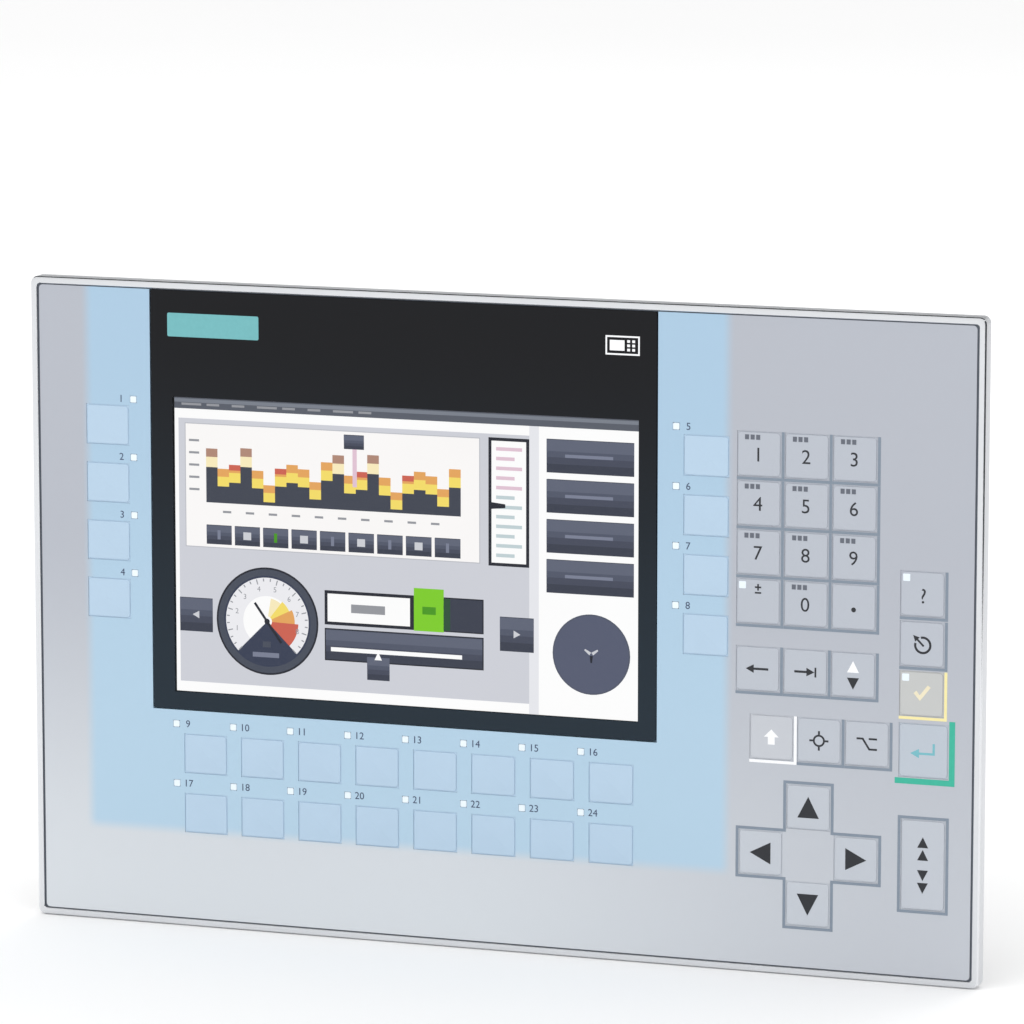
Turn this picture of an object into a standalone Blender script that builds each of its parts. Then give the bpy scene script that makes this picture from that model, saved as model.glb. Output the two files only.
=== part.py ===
"""Key-operated panel with a display for a control cabinet, modelled at rest.

+X is right and +Z is up as the operator sees it, and the front faces -Y. The origin lies on the
bezel's rear sealing face, in the middle of its lower band. Every piece hangs on the empty
panel_centre, so below x and z are counted from the middle of the front and y from the sealing
face. Lengths are millimetres until a mesh or a location is written.
"""

import math

import bmesh
import bpy

MM = 0.001
GAP = 0.3  # clearance between neighbouring pieces
OVERLAP = 0.4  # how far joined shapes run into each other
BEYOND = 2.0  # how far a cutter runs past the wall it cuts

# Bezel
PANEL_WIDTH = 308.0
PANEL_HEIGHT = 204.0
CENTRE_HEIGHT = 97.5  # middle of the front above the origin
RIM_WIDTH = 2.1
CORNER_RADIUS = 2.0
RIM_FRONT = -6.0
POCKET_FLOOR = -1.65
GROOVE_OUTER = (292.0, 188.0)
GROOVE_INNER = (282.0, 178.0)
GROOVE_DEPTH = 0.7
GASKET_HEIGHT = 1.2  # above the sealing face, before it is clamped

# Printed foil on its spacer
FOIL_WIDTH = 302.4
FOIL_HEIGHT = 199.0
FOIL_FRONT = -5.7
FOIL_SHEET = 0.6
FOIL_BACK = -3.25

# Display
DISPLAY_CENTRE = (-30.3, 19.1)
WINDOW_LEFT = -114.0
WINDOW_RIGHT = 52.0
WINDOW_LOW = -33.0
WINDOW_LEDGE = -4.2
GLASS_SIZE = (155.0, 94.0)
LCD_SIZE = (165.0, 104.0)
LCD_OPENING = (168.0, 107.0)
LCD_FLANGE = (176.0, 115.0)
LCD_BACK = 7.0

# Keypad board
BOARD_FRONT = -2.95
BOARD_BACK = -1.95
BOARD_SIZE = (300.0, 196.0)
BOARD_OPENING = (170.0, 109.0)
DOME_TOP = -3.3

# Keys
KEY_SIZE = 13.2
KEY_OPENING = KEY_SIZE + 2 * GAP
KEY_FLANGE = KEY_OPENING + 0.6
KEY_FRONT = -5.95
KEY_EDGE = 0.15
KEY_NUB_END = -3.85
NUB_SIZE = 4.0
FLANGE_FRONT = -4.8
FLANGE_BACK = -4.2
ENTER_SIZE = (14.8, 16.0)
PAGE_KEY_HEIGHT = 27.2
PAGE_KEY_AT = (136.3, -65.0)
PAGE_PIVOT_DEPTH = -4.5
PAGE_NUB_OFFSET = 8.5
PITCH = 15.0
COMMAND_PITCH = 15.2

# Function keys
PAD_SIZE = (13.8, 12.0)
PAD_FRONT = -5.85
LED_OPENING = 2.2
LED_SIZE = (1.6, 0.8)
LED_TOP = -3.9
SIDE_ROW_HEIGHTS = [56.3 - 18.3 * row for row in range(4)]
LOWER_ROW_POSITIONS = [-96.3 + 19.1 * column for column in range(8)]

# Rear
PLUG_SIZE = (279.2, 175.2)  # what enters a 280 x 176 cut-out
PLUG_WALL = 2.8
PLUG_END = 9.0
COVER_START = PLUG_END + GAP
COVER_STEP = 22.0
COVER_END = 57.0
COVER_WALL = 2.0
BOX_SIZE = (200.0, 144.0)
BOX_CENTRE = (-18.0, 2.0)
BOX_LOW = BOX_CENTRE[1] - BOX_SIZE[1] / 2
BOX_RIGHT = BOX_CENTRE[0] + BOX_SIZE[0] / 2
SLOT_WIDTH = 3.2
SLOT_PITCH = 11.0
SLOT_COUNT = 16
POST_AT = (128.0, 76.0)
POST_RADIUS = 4.0
POST_HOLE = 1.8
BOARD_POSTS = ((-104.0, 60.0), (68.0, 60.0), (-104.0, -44.0), (68.0, -44.0))

# Main board and its connectors; the connectors face down
MAIN_BOARD = (-112.0, 76.0, -66.0, 68.0)
MAIN_BOARD_FRONT = 30.0
MAIN_BOARD_BACK = 31.6
SOCKET_FACE = BOX_LOW - 0.4
NETWORK_X = -10.0
NETWORK_WIDTH = 32.0
NETWORK_BACK = 45.5
SERIAL_X = -52.0
SERIAL_DEPTH = 38.5
SERIAL_FLANGE = (31.0, 12.6)
USB_X = 28.0
USB_WIDTH = 14.6
USB_BACK = 47.3
POWER_X = 60.0
POWER_DEPTH = 38.0
PLUG_NOSE = (11.0, 8.4)
PLUG_BODY = (13.4, 11.4)
CARD_LOCK_AT = (42.0, 20.0)  # depth and height on the cover's right wall
CARD_PITCH = 28.0

# Mounting clips
CLIP_X = 90.0
SCREW_HEIGHT = 92.8
CLIP_DEPTHS = (9.8, 20.8)
CLIP_INNER = PLUG_SIZE[1] / 2 + 0.4
CLIP_OUTER = 98.2
CLIP_WIDTH = 20.0
HOOK_WIDTH = 13.0
SCREW_TIP = 6.0
SCREW_SHOULDER = 25.3
SCREW_END = 28.5
SCREW_RADIUS = 2.4
SCREW_HEAD = 3.8

CORNER_SEGMENTS = 4
ROUND_SIDES = 12


# Key positions, by group: the keys of one group share one pocket behind the foil.

def grid(names, left, top, pitch=PITCH):
    """Position of each named key, row by row from the upper left one."""
    return {
        name: (left + pitch * column, top - pitch * row)
        for row, line in enumerate(names)
        for column, name in enumerate(line)
    }


NUMBER_NAMES = (
    ("key_1", "key_2", "key_3"),
    ("key_4", "key_5", "key_6"),
    ("key_7", "key_8", "key_9"),
    ("key_sign", "key_0", "key_point"),
)
EDIT_NAMES = (("key_backspace", "key_tab", "key_insert_delete"),)
MODIFIER_NAMES = (("key_shift", "key_control", "key_alternate"),)
COMMAND_NAMES = (("key_help",), ("key_escape",), ("key_acknowledge",))
CURSOR_CENTRE = (100.3, -64.8)
KEY_GROUPS = (
    grid(NUMBER_NAMES, 84.0, 57.7),
    grid(EDIT_NAMES, 84.0, -8.0),
    grid(MODIFIER_NAMES, 88.5, -28.9),
    grid(COMMAND_NAMES, 135.3, 17.9, COMMAND_PITCH),
    {
        "key_up": (CURSOR_CENTRE[0], CURSOR_CENTRE[1] + PITCH),
        "key_down": (CURSOR_CENTRE[0], CURSOR_CENTRE[1] - PITCH),
        "key_left": (CURSOR_CENTRE[0] - PITCH, CURSOR_CENTRE[1]),
        "key_right": (CURSOR_CENTRE[0] + PITCH, CURSOR_CENTRE[1]),
    },
)
ENTER_AT = (136.1, -29.9)

FUNCTION_ROWS = {
    "left": [(-128.4, height) for height in SIDE_ROW_HEIGHTS],
    "right": [(67.4, height) for height in SIDE_ROW_HEIGHTS],
    "upper": [(x, -46.7) for x in LOWER_ROW_POSITIONS],
    "lower": [(x, -65.7) for x in LOWER_ROW_POSITIONS],
}
LED_OFFSETS = {"left": (8.7, 8.3), "right": (-9.6, 8.6), "upper": (-9.8, 9.3), "lower": (-9.8, 9.3)}


# Outlines: lists of points (u, v) round a shape, all counter-clockwise.

def rounded(size, radius, centre=(0.0, 0.0), segments=CORNER_SEGMENTS):
    """A rectangle with rounded corners; one segment a corner makes it chamfered."""
    points = []
    for corner, (side_u, side_v) in enumerate(((1, 1), (-1, 1), (-1, -1), (1, -1))):
        middle_u = centre[0] + side_u * (size[0] / 2 - radius)
        middle_v = centre[1] + side_v * (size[1] / 2 - radius)
        for step in range(segments + 1):
            angle = math.pi / 2 * (corner + step / segments)
            points.append((middle_u + radius * math.cos(angle), middle_v + radius * math.sin(angle)))
    return points


def disc(radius, centre=(0.0, 0.0), sides=ROUND_SIDES):
    angles = [2 * math.pi * side / sides for side in range(sides)]
    return [(centre[0] + radius * math.cos(a), centre[1] + radius * math.sin(a)) for a in angles]


def hexagon(radius):
    """A hexagon with a point in the middle of each side too, so that it lofts to a disc."""
    flat = radius * math.cos(math.pi / 6)
    points = []
    for side in range(ROUND_SIDES):
        angle = 2 * math.pi * side / ROUND_SIDES
        reach = flat if side % 2 else radius
        points.append((reach * math.cos(angle), reach * math.sin(angle)))
    return points


# Skins: closed surfaces as (vertices, faces).

FACINGS = {
    "front": lambda u, v, depth: (u, depth, v),
    "under": lambda u, v, depth: (u, v, depth),
    "side": lambda u, v, depth: (depth, u, v),
}


def loft(sections, facing="front", ring=False):
    """A skin through sections (depth, outline) with equal point counts.

    The first and last sections are capped, or joined to each other on a ring. The depth runs
    along Y for the facing "front", along Z for "under" and along X for "side".
    """
    place = FACINGS[facing]
    count = len(sections[0][1])
    rows = len(sections)
    vertices = [place(u, v, depth) for depth, outline in sections for u, v in outline]
    faces = []
    for row in range(rows if ring else rows - 1):
        here = row * count
        there = (row + 1) % rows * count
        for i in range(count):
            j = (i + 1) % count
            faces.append((here + i, here + j, there + j, there + i))
    if not ring:
        faces.append(tuple(range(count)))
        faces.append(tuple(range((rows - 1) * count, rows * count)))
    return vertices, faces


def block(x, y, z):
    """A box between the pairs x, y and z."""
    corners = [(x[0], z[0]), (x[1], z[0]), (x[1], z[1]), (x[0], z[1])]
    return loft([(y[0], corners), (y[1], corners)])


def around(centre, size):
    return centre - size / 2, centre + size / 2


def grown(size, amount):
    return [side + amount for side in size]


def mesh_of(name, skins):
    """One mesh of all the skins, in metres, with its faces pointing out."""
    model = bmesh.new()
    for vertices, faces in skins:
        made = [model.verts.new([value * MM for value in vertex]) for vertex in vertices]
        for face in faces:
            model.faces.new([made[index] for index in face])
    bmesh.ops.recalc_face_normals(model, faces=model.faces)
    mesh = bpy.data.meshes.new(name)
    model.to_mesh(mesh)
    model.free()
    mesh.shade_smooth()
    mesh.set_sharp_from_angle(angle=math.radians(35))
    return mesh


def finish(name, colour, roughness, metallic=0.0):
    """A material from a display colour with values from 0 to 1."""
    material = bpy.data.materials.new(name)
    material.use_nodes = True
    shader = material.node_tree.nodes["Principled BSDF"]
    shader.inputs["Base Color"].default_value = [value**2.2 for value in colour] + [1.0]
    shader.inputs["Roughness"].default_value = roughness
    shader.inputs["Metallic"].default_value = metallic
    return material


def place(name, mesh, material, at=(0.0, 0.0, 0.0), turn=0.0):
    """A new object on the panel's centre, at a point (x, y, z) and turned about Y."""
    if not mesh.materials:
        mesh.materials.append(material)
    piece = bpy.data.objects.new(name, mesh)
    bpy.context.scene.collection.objects.link(piece)
    piece.parent = bpy.data.objects["panel_centre"]
    piece.location = [value * MM for value in at]
    piece.rotation_euler = (0.0, turn, 0.0)
    return piece


def make(name, skin, material, at=(0.0, 0.0, 0.0)):
    return place(name, mesh_of(name, [skin]), material, at)


def shape(piece, skins, operation):
    """Cut skins from a piece, or join them to it. The skins stay clear of each other."""
    helper_name = f"{piece.name}_{operation.lower()}_{len(piece.modifiers)}"
    helper = place(helper_name, mesh_of(helper_name, skins), piece.data.materials[0])
    helper.location = piece.location
    helper.hide_render = True
    helper.display_type = "WIRE"
    boolean = piece.modifiers.new(helper_name, "BOOLEAN")
    boolean.operation = operation
    boolean.solver = "EXACT"
    boolean.object = helper


def cut(piece, skins):
    shape(piece, skins, "DIFFERENCE")


def join(piece, skins):
    shape(piece, skins, "UNION")


def evaluated_mesh(piece):
    """The mesh of a piece with its modifiers applied, for copies to share."""
    bpy.context.view_layer.update()
    graph = bpy.context.evaluated_depsgraph_get()
    return bpy.data.meshes.new_from_object(piece.evaluated_get(graph))


def screw_skin(tip, shoulder, head_end, radius, head_radius):
    """A socket head screw along Y, from its tip to the top of its head."""
    edge = 0.4
    socket_radius = 0.45 * head_radius
    socket_depth = 0.55 * (head_end - shoulder)
    return loft(
        [
            (tip, disc(radius - edge)),
            (tip + edge, disc(radius)),
            (shoulder, disc(radius)),
            (shoulder, disc(head_radius)),
            (head_end - edge, disc(head_radius)),
            (head_end, disc(head_radius - edge)),
            (head_end, hexagon(socket_radius)),
            (head_end - socket_depth, hexagon(socket_radius)),
        ]
    )


# Front pieces

def build_front_frame(material):
    """Bezel plate with a rim round its front pocket, a gasket groove and the plug wall behind."""
    full = (PANEL_WIDTH, PANEL_HEIGHT)
    pocket = grown(full, -2 * RIM_WIDTH)
    wall_inner = grown(PLUG_SIZE, -2 * PLUG_WALL)
    opening = rounded(LCD_OPENING, 1.0, DISPLAY_CENTRE)
    edge = 0.4
    chamfered = grown(full, -2 * edge)
    plug_lead = grown(PLUG_SIZE, -2 * edge)
    frame = make(
        "front_frame",
        loft(
            [
                (RIM_FRONT, rounded(chamfered, CORNER_RADIUS)),
                (RIM_FRONT + edge, rounded(full, CORNER_RADIUS)),
                (0.0, rounded(full, CORNER_RADIUS)),
                (0.0, rounded(GROOVE_OUTER, 3.0)),
                (-GROOVE_DEPTH, rounded(GROOVE_OUTER, 3.0)),
                (-GROOVE_DEPTH, rounded(GROOVE_INNER, 2.5)),
                (0.0, rounded(GROOVE_INNER, 2.5)),
                (0.0, rounded(PLUG_SIZE, 2.0)),
                (PLUG_END - edge, rounded(PLUG_SIZE, 2.0)),
                (PLUG_END, rounded(plug_lead, 1.8)),
                (PLUG_END, rounded(wall_inner, 1.0)),
                (0.0, rounded(wall_inner, 1.0)),
                (0.0, opening),
                (POCKET_FLOOR, opening),
                (POCKET_FLOOR, rounded(pocket, 1.0)),
                (RIM_FRONT, rounded(pocket, 1.0)),
            ],
            ring=True,
        ),
        material,
    )
    post_end = COVER_STEP - COVER_WALL - 2 * GAP
    posts = []
    for x in (-POST_AT[0], POST_AT[0]):
        for z in (-POST_AT[1], POST_AT[1]):
            rim = disc(POST_RADIUS, (x, z))
            hole = disc(POST_HOLE, (x, z))
            end = PLUG_END - 1.0
            posts.append(loft([(-OVERLAP, rim), (post_end, rim), (post_end, hole), (end, hole)]))
    join(frame, posts)


def group_pocket(centres, reach):
    """Left, right, low and high edges of the pocket round keys that reach this far."""
    xs = [x for x, _ in centres]
    zs = [z for _, z in centres]
    return min(xs) - reach[0], max(xs) + reach[0], min(zs) - reach[1], max(zs) + reach[1]


def foil_openings():
    """Cutters through the whole foil: key and pad windows, LED windows and the display."""
    through = (FOIL_FRONT - BEYOND, FOIL_BACK + BEYOND)
    skins = []

    def opening(centre, width, height):
        skins.append(block(around(centre[0], width), through, around(centre[1], height)))

    for group in KEY_GROUPS:
        for centre in group.values():
            opening(centre, KEY_OPENING, KEY_OPENING)
    opening(ENTER_AT, ENTER_SIZE[0] + 2 * GAP, ENTER_SIZE[1] + 2 * GAP)
    opening(PAGE_KEY_AT, KEY_OPENING, PAGE_KEY_HEIGHT + 2 * GAP)
    for side, centres in FUNCTION_ROWS.items():
        for x, z in centres:
            opening((x, z), PAD_SIZE[0] + 2 * GAP, PAD_SIZE[1] + 2 * GAP)
            led = (x + LED_OFFSETS[side][0], z + LED_OFFSETS[side][1])
            opening(led, LED_OPENING, LED_OPENING)
    opening(DISPLAY_CENTRE, GLASS_SIZE[0] + 1.0, GLASS_SIZE[1] + 1.0)
    return skins


def foil_pockets():
    """Cutters behind the front sheet, which leave room for the key flanges and strips."""
    depths = (FOIL_FRONT + FOIL_SHEET, FOIL_BACK + BEYOND)
    key_reach = KEY_FLANGE / 2 + GAP
    enter_reach = [key_reach + (side - KEY_SIZE) / 2 for side in ENTER_SIZE]
    pad_reach = (PAD_SIZE[0] / 2 + 2 * GAP, PAD_SIZE[1] / 2 + 2 * GAP)
    pockets = [group_pocket(group.values(), (key_reach, key_reach)) for group in KEY_GROUPS]
    pockets.append(group_pocket([ENTER_AT], enter_reach))
    pockets.append(group_pocket([PAGE_KEY_AT], (key_reach + GAP, PAGE_KEY_HEIGHT / 2 + 3 * GAP)))
    pockets.extend(group_pocket(centres, pad_reach) for centres in FUNCTION_ROWS.values())
    return [block((left, right), depths, (low, high)) for left, right, low, high in pockets]


def build_key_foil(material):
    """Printed foil on its spacer, one laminate, open for the keys, the LEDs and the display."""
    size = (FOIL_WIDTH, FOIL_HEIGHT)
    foil = make(
        "key_foil",
        loft([(FOIL_FRONT, rounded(size, 1.2)), (FOIL_BACK, rounded(size, 1.2))]),
        material,
    )
    cut(foil, foil_openings())
    cut(foil, foil_pockets())
    window_seat = block(
        (WINDOW_LEFT, WINDOW_RIGHT),
        (FOIL_FRONT - BEYOND, WINDOW_LEDGE),
        (WINDOW_LOW, FOIL_HEIGHT / 2 + BEYOND),
    )
    cut(foil, [window_seat])


def build_display_window(material):
    """Black-edged clear lens, flush with the foil and open to the foil's upper edge."""
    high = FOIL_HEIGHT / 2
    size = (WINDOW_RIGHT - WINDOW_LEFT - 2 * GAP, high - WINDOW_LOW - GAP)
    centre = ((WINDOW_LEFT + WINDOW_RIGHT) / 2, high - size[1] / 2)
    edge = 0.15
    front = grown(size, -2 * edge)
    make(
        "display_window",
        loft(
            [
                (FOIL_FRONT, rounded(front, 0.5, centre, 2)),
                (FOIL_FRONT + edge, rounded(size, 0.6, centre, 2)),
                (WINDOW_LEDGE - GAP, rounded(size, 0.6, centre, 2)),
            ]
        ),
        material,
    )


def build_lcd_module(material):
    """Display with its glass raised towards the lens and a flange behind the bezel plate."""
    shoulder = FOIL_BACK + 0.35
    flange_back = GAP + 1.2
    make(
        "lcd_module",
        loft(
            [
                (WINDOW_LEDGE + 0.2, rounded(GLASS_SIZE, 1.0, DISPLAY_CENTRE, 2)),
                (shoulder, rounded(GLASS_SIZE, 1.0, DISPLAY_CENTRE, 2)),
                (shoulder, rounded(LCD_SIZE, 1.0, DISPLAY_CENTRE, 2)),
                (GAP, rounded(LCD_SIZE, 1.0, DISPLAY_CENTRE, 2)),
                (GAP, rounded(LCD_FLANGE, 2.0, DISPLAY_CENTRE, 2)),
                (flange_back, rounded(LCD_FLANGE, 2.0, DISPLAY_CENTRE, 2)),
                (flange_back, rounded(LCD_OPENING, 1.0, DISPLAY_CENTRE, 2)),
                (LCD_BACK, rounded(LCD_OPENING, 1.0, DISPLAY_CENTRE, 2)),
            ]
        ),
        material,
    )


def build_keypad_board(material):
    """Board behind the foil, with a snap dome under each key and an LED beside each window."""
    opening = rounded(BOARD_OPENING, 1.0, DISPLAY_CENTRE)
    board = make(
        "keypad_board",
        loft(
            [
                (BOARD_FRONT, rounded(BOARD_SIZE, 2.0)),
                (BOARD_BACK, rounded(BOARD_SIZE, 2.0)),
                (BOARD_BACK, opening),
                (BOARD_FRONT, opening),
            ],
            ring=True,
        ),
        material,
    )
    inside = BOARD_FRONT + OVERLAP
    domes = [centre for group in KEY_GROUPS for centre in group.values()]
    domes.append(ENTER_AT)
    for side in (-1, 1):
        domes.append((PAGE_KEY_AT[0], PAGE_KEY_AT[1] + side * PAGE_NUB_OFFSET))
    for centres in FUNCTION_ROWS.values():
        domes.extend(centres)
    added = []
    for centre in domes:
        added.append(loft([(inside, disc(2.8, centre, 8)), (DOME_TOP, disc(1.4, centre, 8))]))
    for side, centres in FUNCTION_ROWS.items():
        for x, z in centres:
            across = around(x + LED_OFFSETS[side][0], LED_SIZE[0])
            upright = around(z + LED_OFFSETS[side][1], LED_SIZE[1])
            added.append(block(across, (inside, LED_TOP), upright))
    join(board, added)


def build_gasket(material):
    """Flat sealing ring in the bezel's groove, proud of the sealing face until it is clamped."""
    outer = grown(GROOVE_OUTER, -2 * GAP)
    inner = grown(GROOVE_INNER, 2 * GAP)
    edge = 0.5
    foot = GAP - GROOVE_DEPTH
    make(
        "panel_gasket",
        loft(
            [
                (foot, rounded(outer, 2.7)),
                (GASKET_HEIGHT - edge, rounded(outer, 2.7)),
                (GASKET_HEIGHT, rounded(grown(outer, -2 * edge), 2.7)),
                (GASKET_HEIGHT, rounded(grown(inner, 2 * edge), 2.7)),
                (GASKET_HEIGHT - edge, rounded(inner, 2.7)),
                (foot, rounded(inner, 2.7)),
            ],
            ring=True,
        ),
        material,
    )


# Keys

def key_mesh(name, size):
    """A key cap with a retaining flange behind the foil and a nub over its dome."""
    nub = rounded((NUB_SIZE, NUB_SIZE), 0.5, segments=1)
    flange = rounded(grown(size, KEY_FLANGE - KEY_SIZE), 0.5, segments=1)
    cap = rounded(size, 0.5, segments=1)
    face = rounded(grown(size, -2 * KEY_EDGE), 0.5, segments=1)
    skin = loft(
        [
            (KEY_NUB_END, nub),
            (FLANGE_BACK, nub),
            (FLANGE_BACK, flange),
            (FLANGE_FRONT, flange),
            (FLANGE_FRONT, cap),
            (KEY_FRONT + KEY_EDGE, cap),
            (KEY_FRONT, face),
        ]
    )
    return mesh_of(name, [skin])


def build_keys(grey, white, green, amber):
    colours = {"key_shift": white, "key_acknowledge": amber}
    for group in KEY_GROUPS:
        for name, (x, z) in group.items():
            mesh = key_mesh(name, (KEY_SIZE, KEY_SIZE))
            place(name, mesh, colours.get(name, grey), (x, 0.0, z))
    enter = key_mesh("key_enter", ENTER_SIZE)
    place("key_enter", enter, green, (ENTER_AT[0], 0.0, ENTER_AT[1]))


def build_page_key(material):
    """Rocker with its pivot ears in the middle and a nub over a dome at each end."""
    size = (KEY_SIZE, PAGE_KEY_HEIGHT)
    face = grown(size, -2 * KEY_EDGE)
    back = 0.1  # behind the pivot
    key = make(
        "page_key",
        loft(
            [
                (back, rounded(size, 0.5, segments=1)),
                (KEY_FRONT + KEY_EDGE - PAGE_PIVOT_DEPTH, rounded(size, 0.5, segments=1)),
                (KEY_FRONT - PAGE_PIVOT_DEPTH, rounded(face, 0.5, segments=1)),
            ]
        ),
        material,
        (PAGE_KEY_AT[0], PAGE_PIVOT_DEPTH, PAGE_KEY_AT[1]),
    )
    nub_end = KEY_NUB_END - PAGE_PIVOT_DEPTH
    nub = around(0.0, NUB_SIZE)
    ears = block(around(0.0, KEY_FLANGE), around(-0.15, 0.3), around(0.0, NUB_SIZE))
    nubs = [
        block(nub, (-OVERLAP, nub_end), around(side * PAGE_NUB_OFFSET, NUB_SIZE))
        for side in (-1, 1)
    ]
    join(key, [ears] + nubs)


def build_function_keys(clear, paper):
    """One strip of window pads for each row, and the label film that rides in its channel."""
    rib = 0.7
    rib_end = -3.6
    label_depths = (FLANGE_BACK + 0.25, FLANGE_BACK + 0.45)
    for side, centres in FUNCTION_ROWS.items():
        left, right, low, high = group_pocket(centres, (PAD_SIZE[0] / 2 + GAP, PAD_SIZE[1] / 2 + GAP))
        middle = ((left + right) / 2, (low + high) / 2)
        web = (right - left, high - low)
        upright = web[1] > web[0]
        strip = make(
            f"function_keys_{side}",
            loft(
                [
                    (FLANGE_BACK, rounded(web, 0.8, segments=1)),
                    (FLANGE_FRONT, rounded(web, 0.8, segments=1)),
                ]
            ),
            clear,
            (middle[0], 0.0, middle[1]),
        )
        pad_face = grown(PAD_SIZE, -2 * KEY_EDGE)
        added = []
        for x, z in centres:
            centre = (x - middle[0], z - middle[1])
            added.append(
                loft(
                    [
                        (FLANGE_BACK - 0.2, rounded(PAD_SIZE, 0.5, centre, 1)),
                        (PAD_FRONT + KEY_EDGE, rounded(PAD_SIZE, 0.5, centre, 1)),
                        (PAD_FRONT, rounded(pad_face, 0.5, centre, 1)),
                    ]
                )
            )
        inset = 0.1
        for edge in (-1, 1):
            across = edge * (min(web) / 2 - inset - rib / 2)
            along = max(web) - 2 * inset - 1.6
            x, z = (across, 0.0) if upright else (0.0, across)
            width, height = (rib, along) if upright else (along, rib)
            depths = (FLANGE_BACK - 0.2, rib_end)
            added.append(block(around(x, width), depths, around(z, height)))
        join(strip, added)
        slack = 2 * (inset + rib + GAP)
        label = (web[0] - slack, web[1] - 2.0) if upright else (web[0] - 2.0, web[1] - slack)
        outline = rounded(label, 0.5, segments=1)
        make(
            f"label_strip_{side}",
            loft([(label_depths[0], outline), (label_depths[1], outline)]),
            paper,
            (middle[0], 0.0, middle[1]),
        )


# Rear pieces

def vent_slots():
    """Two rows of slots through the cover's top wall and one through its bottom wall."""
    box_top = BOX_CENTRE[1] + BOX_SIZE[1] / 2
    rows = ((box_top, (27.0, 36.0)), (box_top, (41.0, 50.0)), (BOX_LOW, (48.5, 53.0)))
    skins = []
    for wall, depths in rows:
        for slot in range(SLOT_COUNT):
            x = BOX_CENTRE[0] + SLOT_PITCH * (slot - (SLOT_COUNT - 1) / 2)
            skins.append(block(around(x, SLOT_WIDTH), depths, around(wall, 3 * COVER_WALL)))
    return skins


def cover_openings():
    """Cutters for the connectors, the card slots, the clips' hooks and the cover screws."""
    wall = (BOX_LOW - BEYOND, BOX_LOW + 2 * BEYOND)
    front = MAIN_BOARD_BACK - 0.1
    skins = [
        block(around(NETWORK_X, NETWORK_WIDTH + 1.0), (front, NETWORK_BACK + 0.5), wall),
        block(around(SERIAL_X, SERIAL_FLANGE[0] + 1.0), (front, SERIAL_DEPTH + 6.8), wall),
        block(around(USB_X, USB_WIDTH + 1.0), (front, USB_BACK + 0.5), wall),
        block(around(POWER_X, PLUG_BODY[0] + 1.6), around(POWER_DEPTH, PLUG_BODY[1] + 1.0), wall),
    ]
    for side in (-1, 1):
        slot_height = CARD_LOCK_AT[1] + side * CARD_PITCH / 2
        side_wall = (BOX_RIGHT - 2 * BEYOND, BOX_RIGHT + BEYOND)
        skins.append(block(side_wall, around(CARD_LOCK_AT[0], 3.2), around(slot_height, 26.0)))
        for x in (-CLIP_X, CLIP_X):
            wall_middle = side * (PLUG_SIZE[1] / 2 - 1.0)
            skins.append(block(around(x, HOOK_WIDTH + 1.0), (13.0, 16.0), around(wall_middle, 5.0)))
        for x in (-POST_AT[0], POST_AT[0]):
            hole = disc(POST_HOLE, (x, side * POST_AT[1]))
            skins.append(loft([(COVER_STEP - 2 * COVER_WALL, hole), (COVER_STEP + BEYOND, hole)]))
    return skins


def build_rear_cover(material):
    """Stepped tray, open to the front, with a deep box behind the display."""
    tray_inner = grown(PLUG_SIZE, -2 * COVER_WALL)
    box_inner = grown(BOX_SIZE, -2 * COVER_WALL)
    edge = 1.2
    tray_back = grown(PLUG_SIZE, -2 * edge)
    box_back = grown(BOX_SIZE, -2 * edge)
    cover = make(
        "rear_cover",
        loft(
            [
                (COVER_END, rounded(box_back, 3.0, BOX_CENTRE)),
                (COVER_END - edge, rounded(BOX_SIZE, 4.0, BOX_CENTRE)),
                (COVER_STEP, rounded(BOX_SIZE, 4.0, BOX_CENTRE)),
                (COVER_STEP, rounded(tray_back, 2.0)),
                (COVER_STEP - edge, rounded(PLUG_SIZE, 3.0)),
                (COVER_START, rounded(PLUG_SIZE, 3.0)),
                (COVER_START, rounded(tray_inner, 1.5)),
                (COVER_STEP - COVER_WALL, rounded(tray_inner, 1.5)),
                (COVER_STEP - COVER_WALL, rounded(box_inner, 2.5, BOX_CENTRE)),
                (COVER_END - COVER_WALL, rounded(box_inner, 2.5, BOX_CENTRE)),
            ]
        ),
        material,
    )
    added = []
    for centre in BOARD_POSTS:
        post = disc(3.0, centre)
        added.append(loft([(MAIN_BOARD_BACK + GAP, post), (COVER_END - COVER_WALL + OVERLAP, post)]))
    for side in (-1, 1):
        rail = around(CARD_LOCK_AT[0] + side * 6.1, 1.6)
        rail_x = (BOX_RIGHT - OVERLAP, BOX_RIGHT + 2.3)
        added.append(block(rail_x, rail, around(CARD_LOCK_AT[1], 60.0)))
    join(cover, added)
    cut(cover, vent_slots() + cover_openings())


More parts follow.
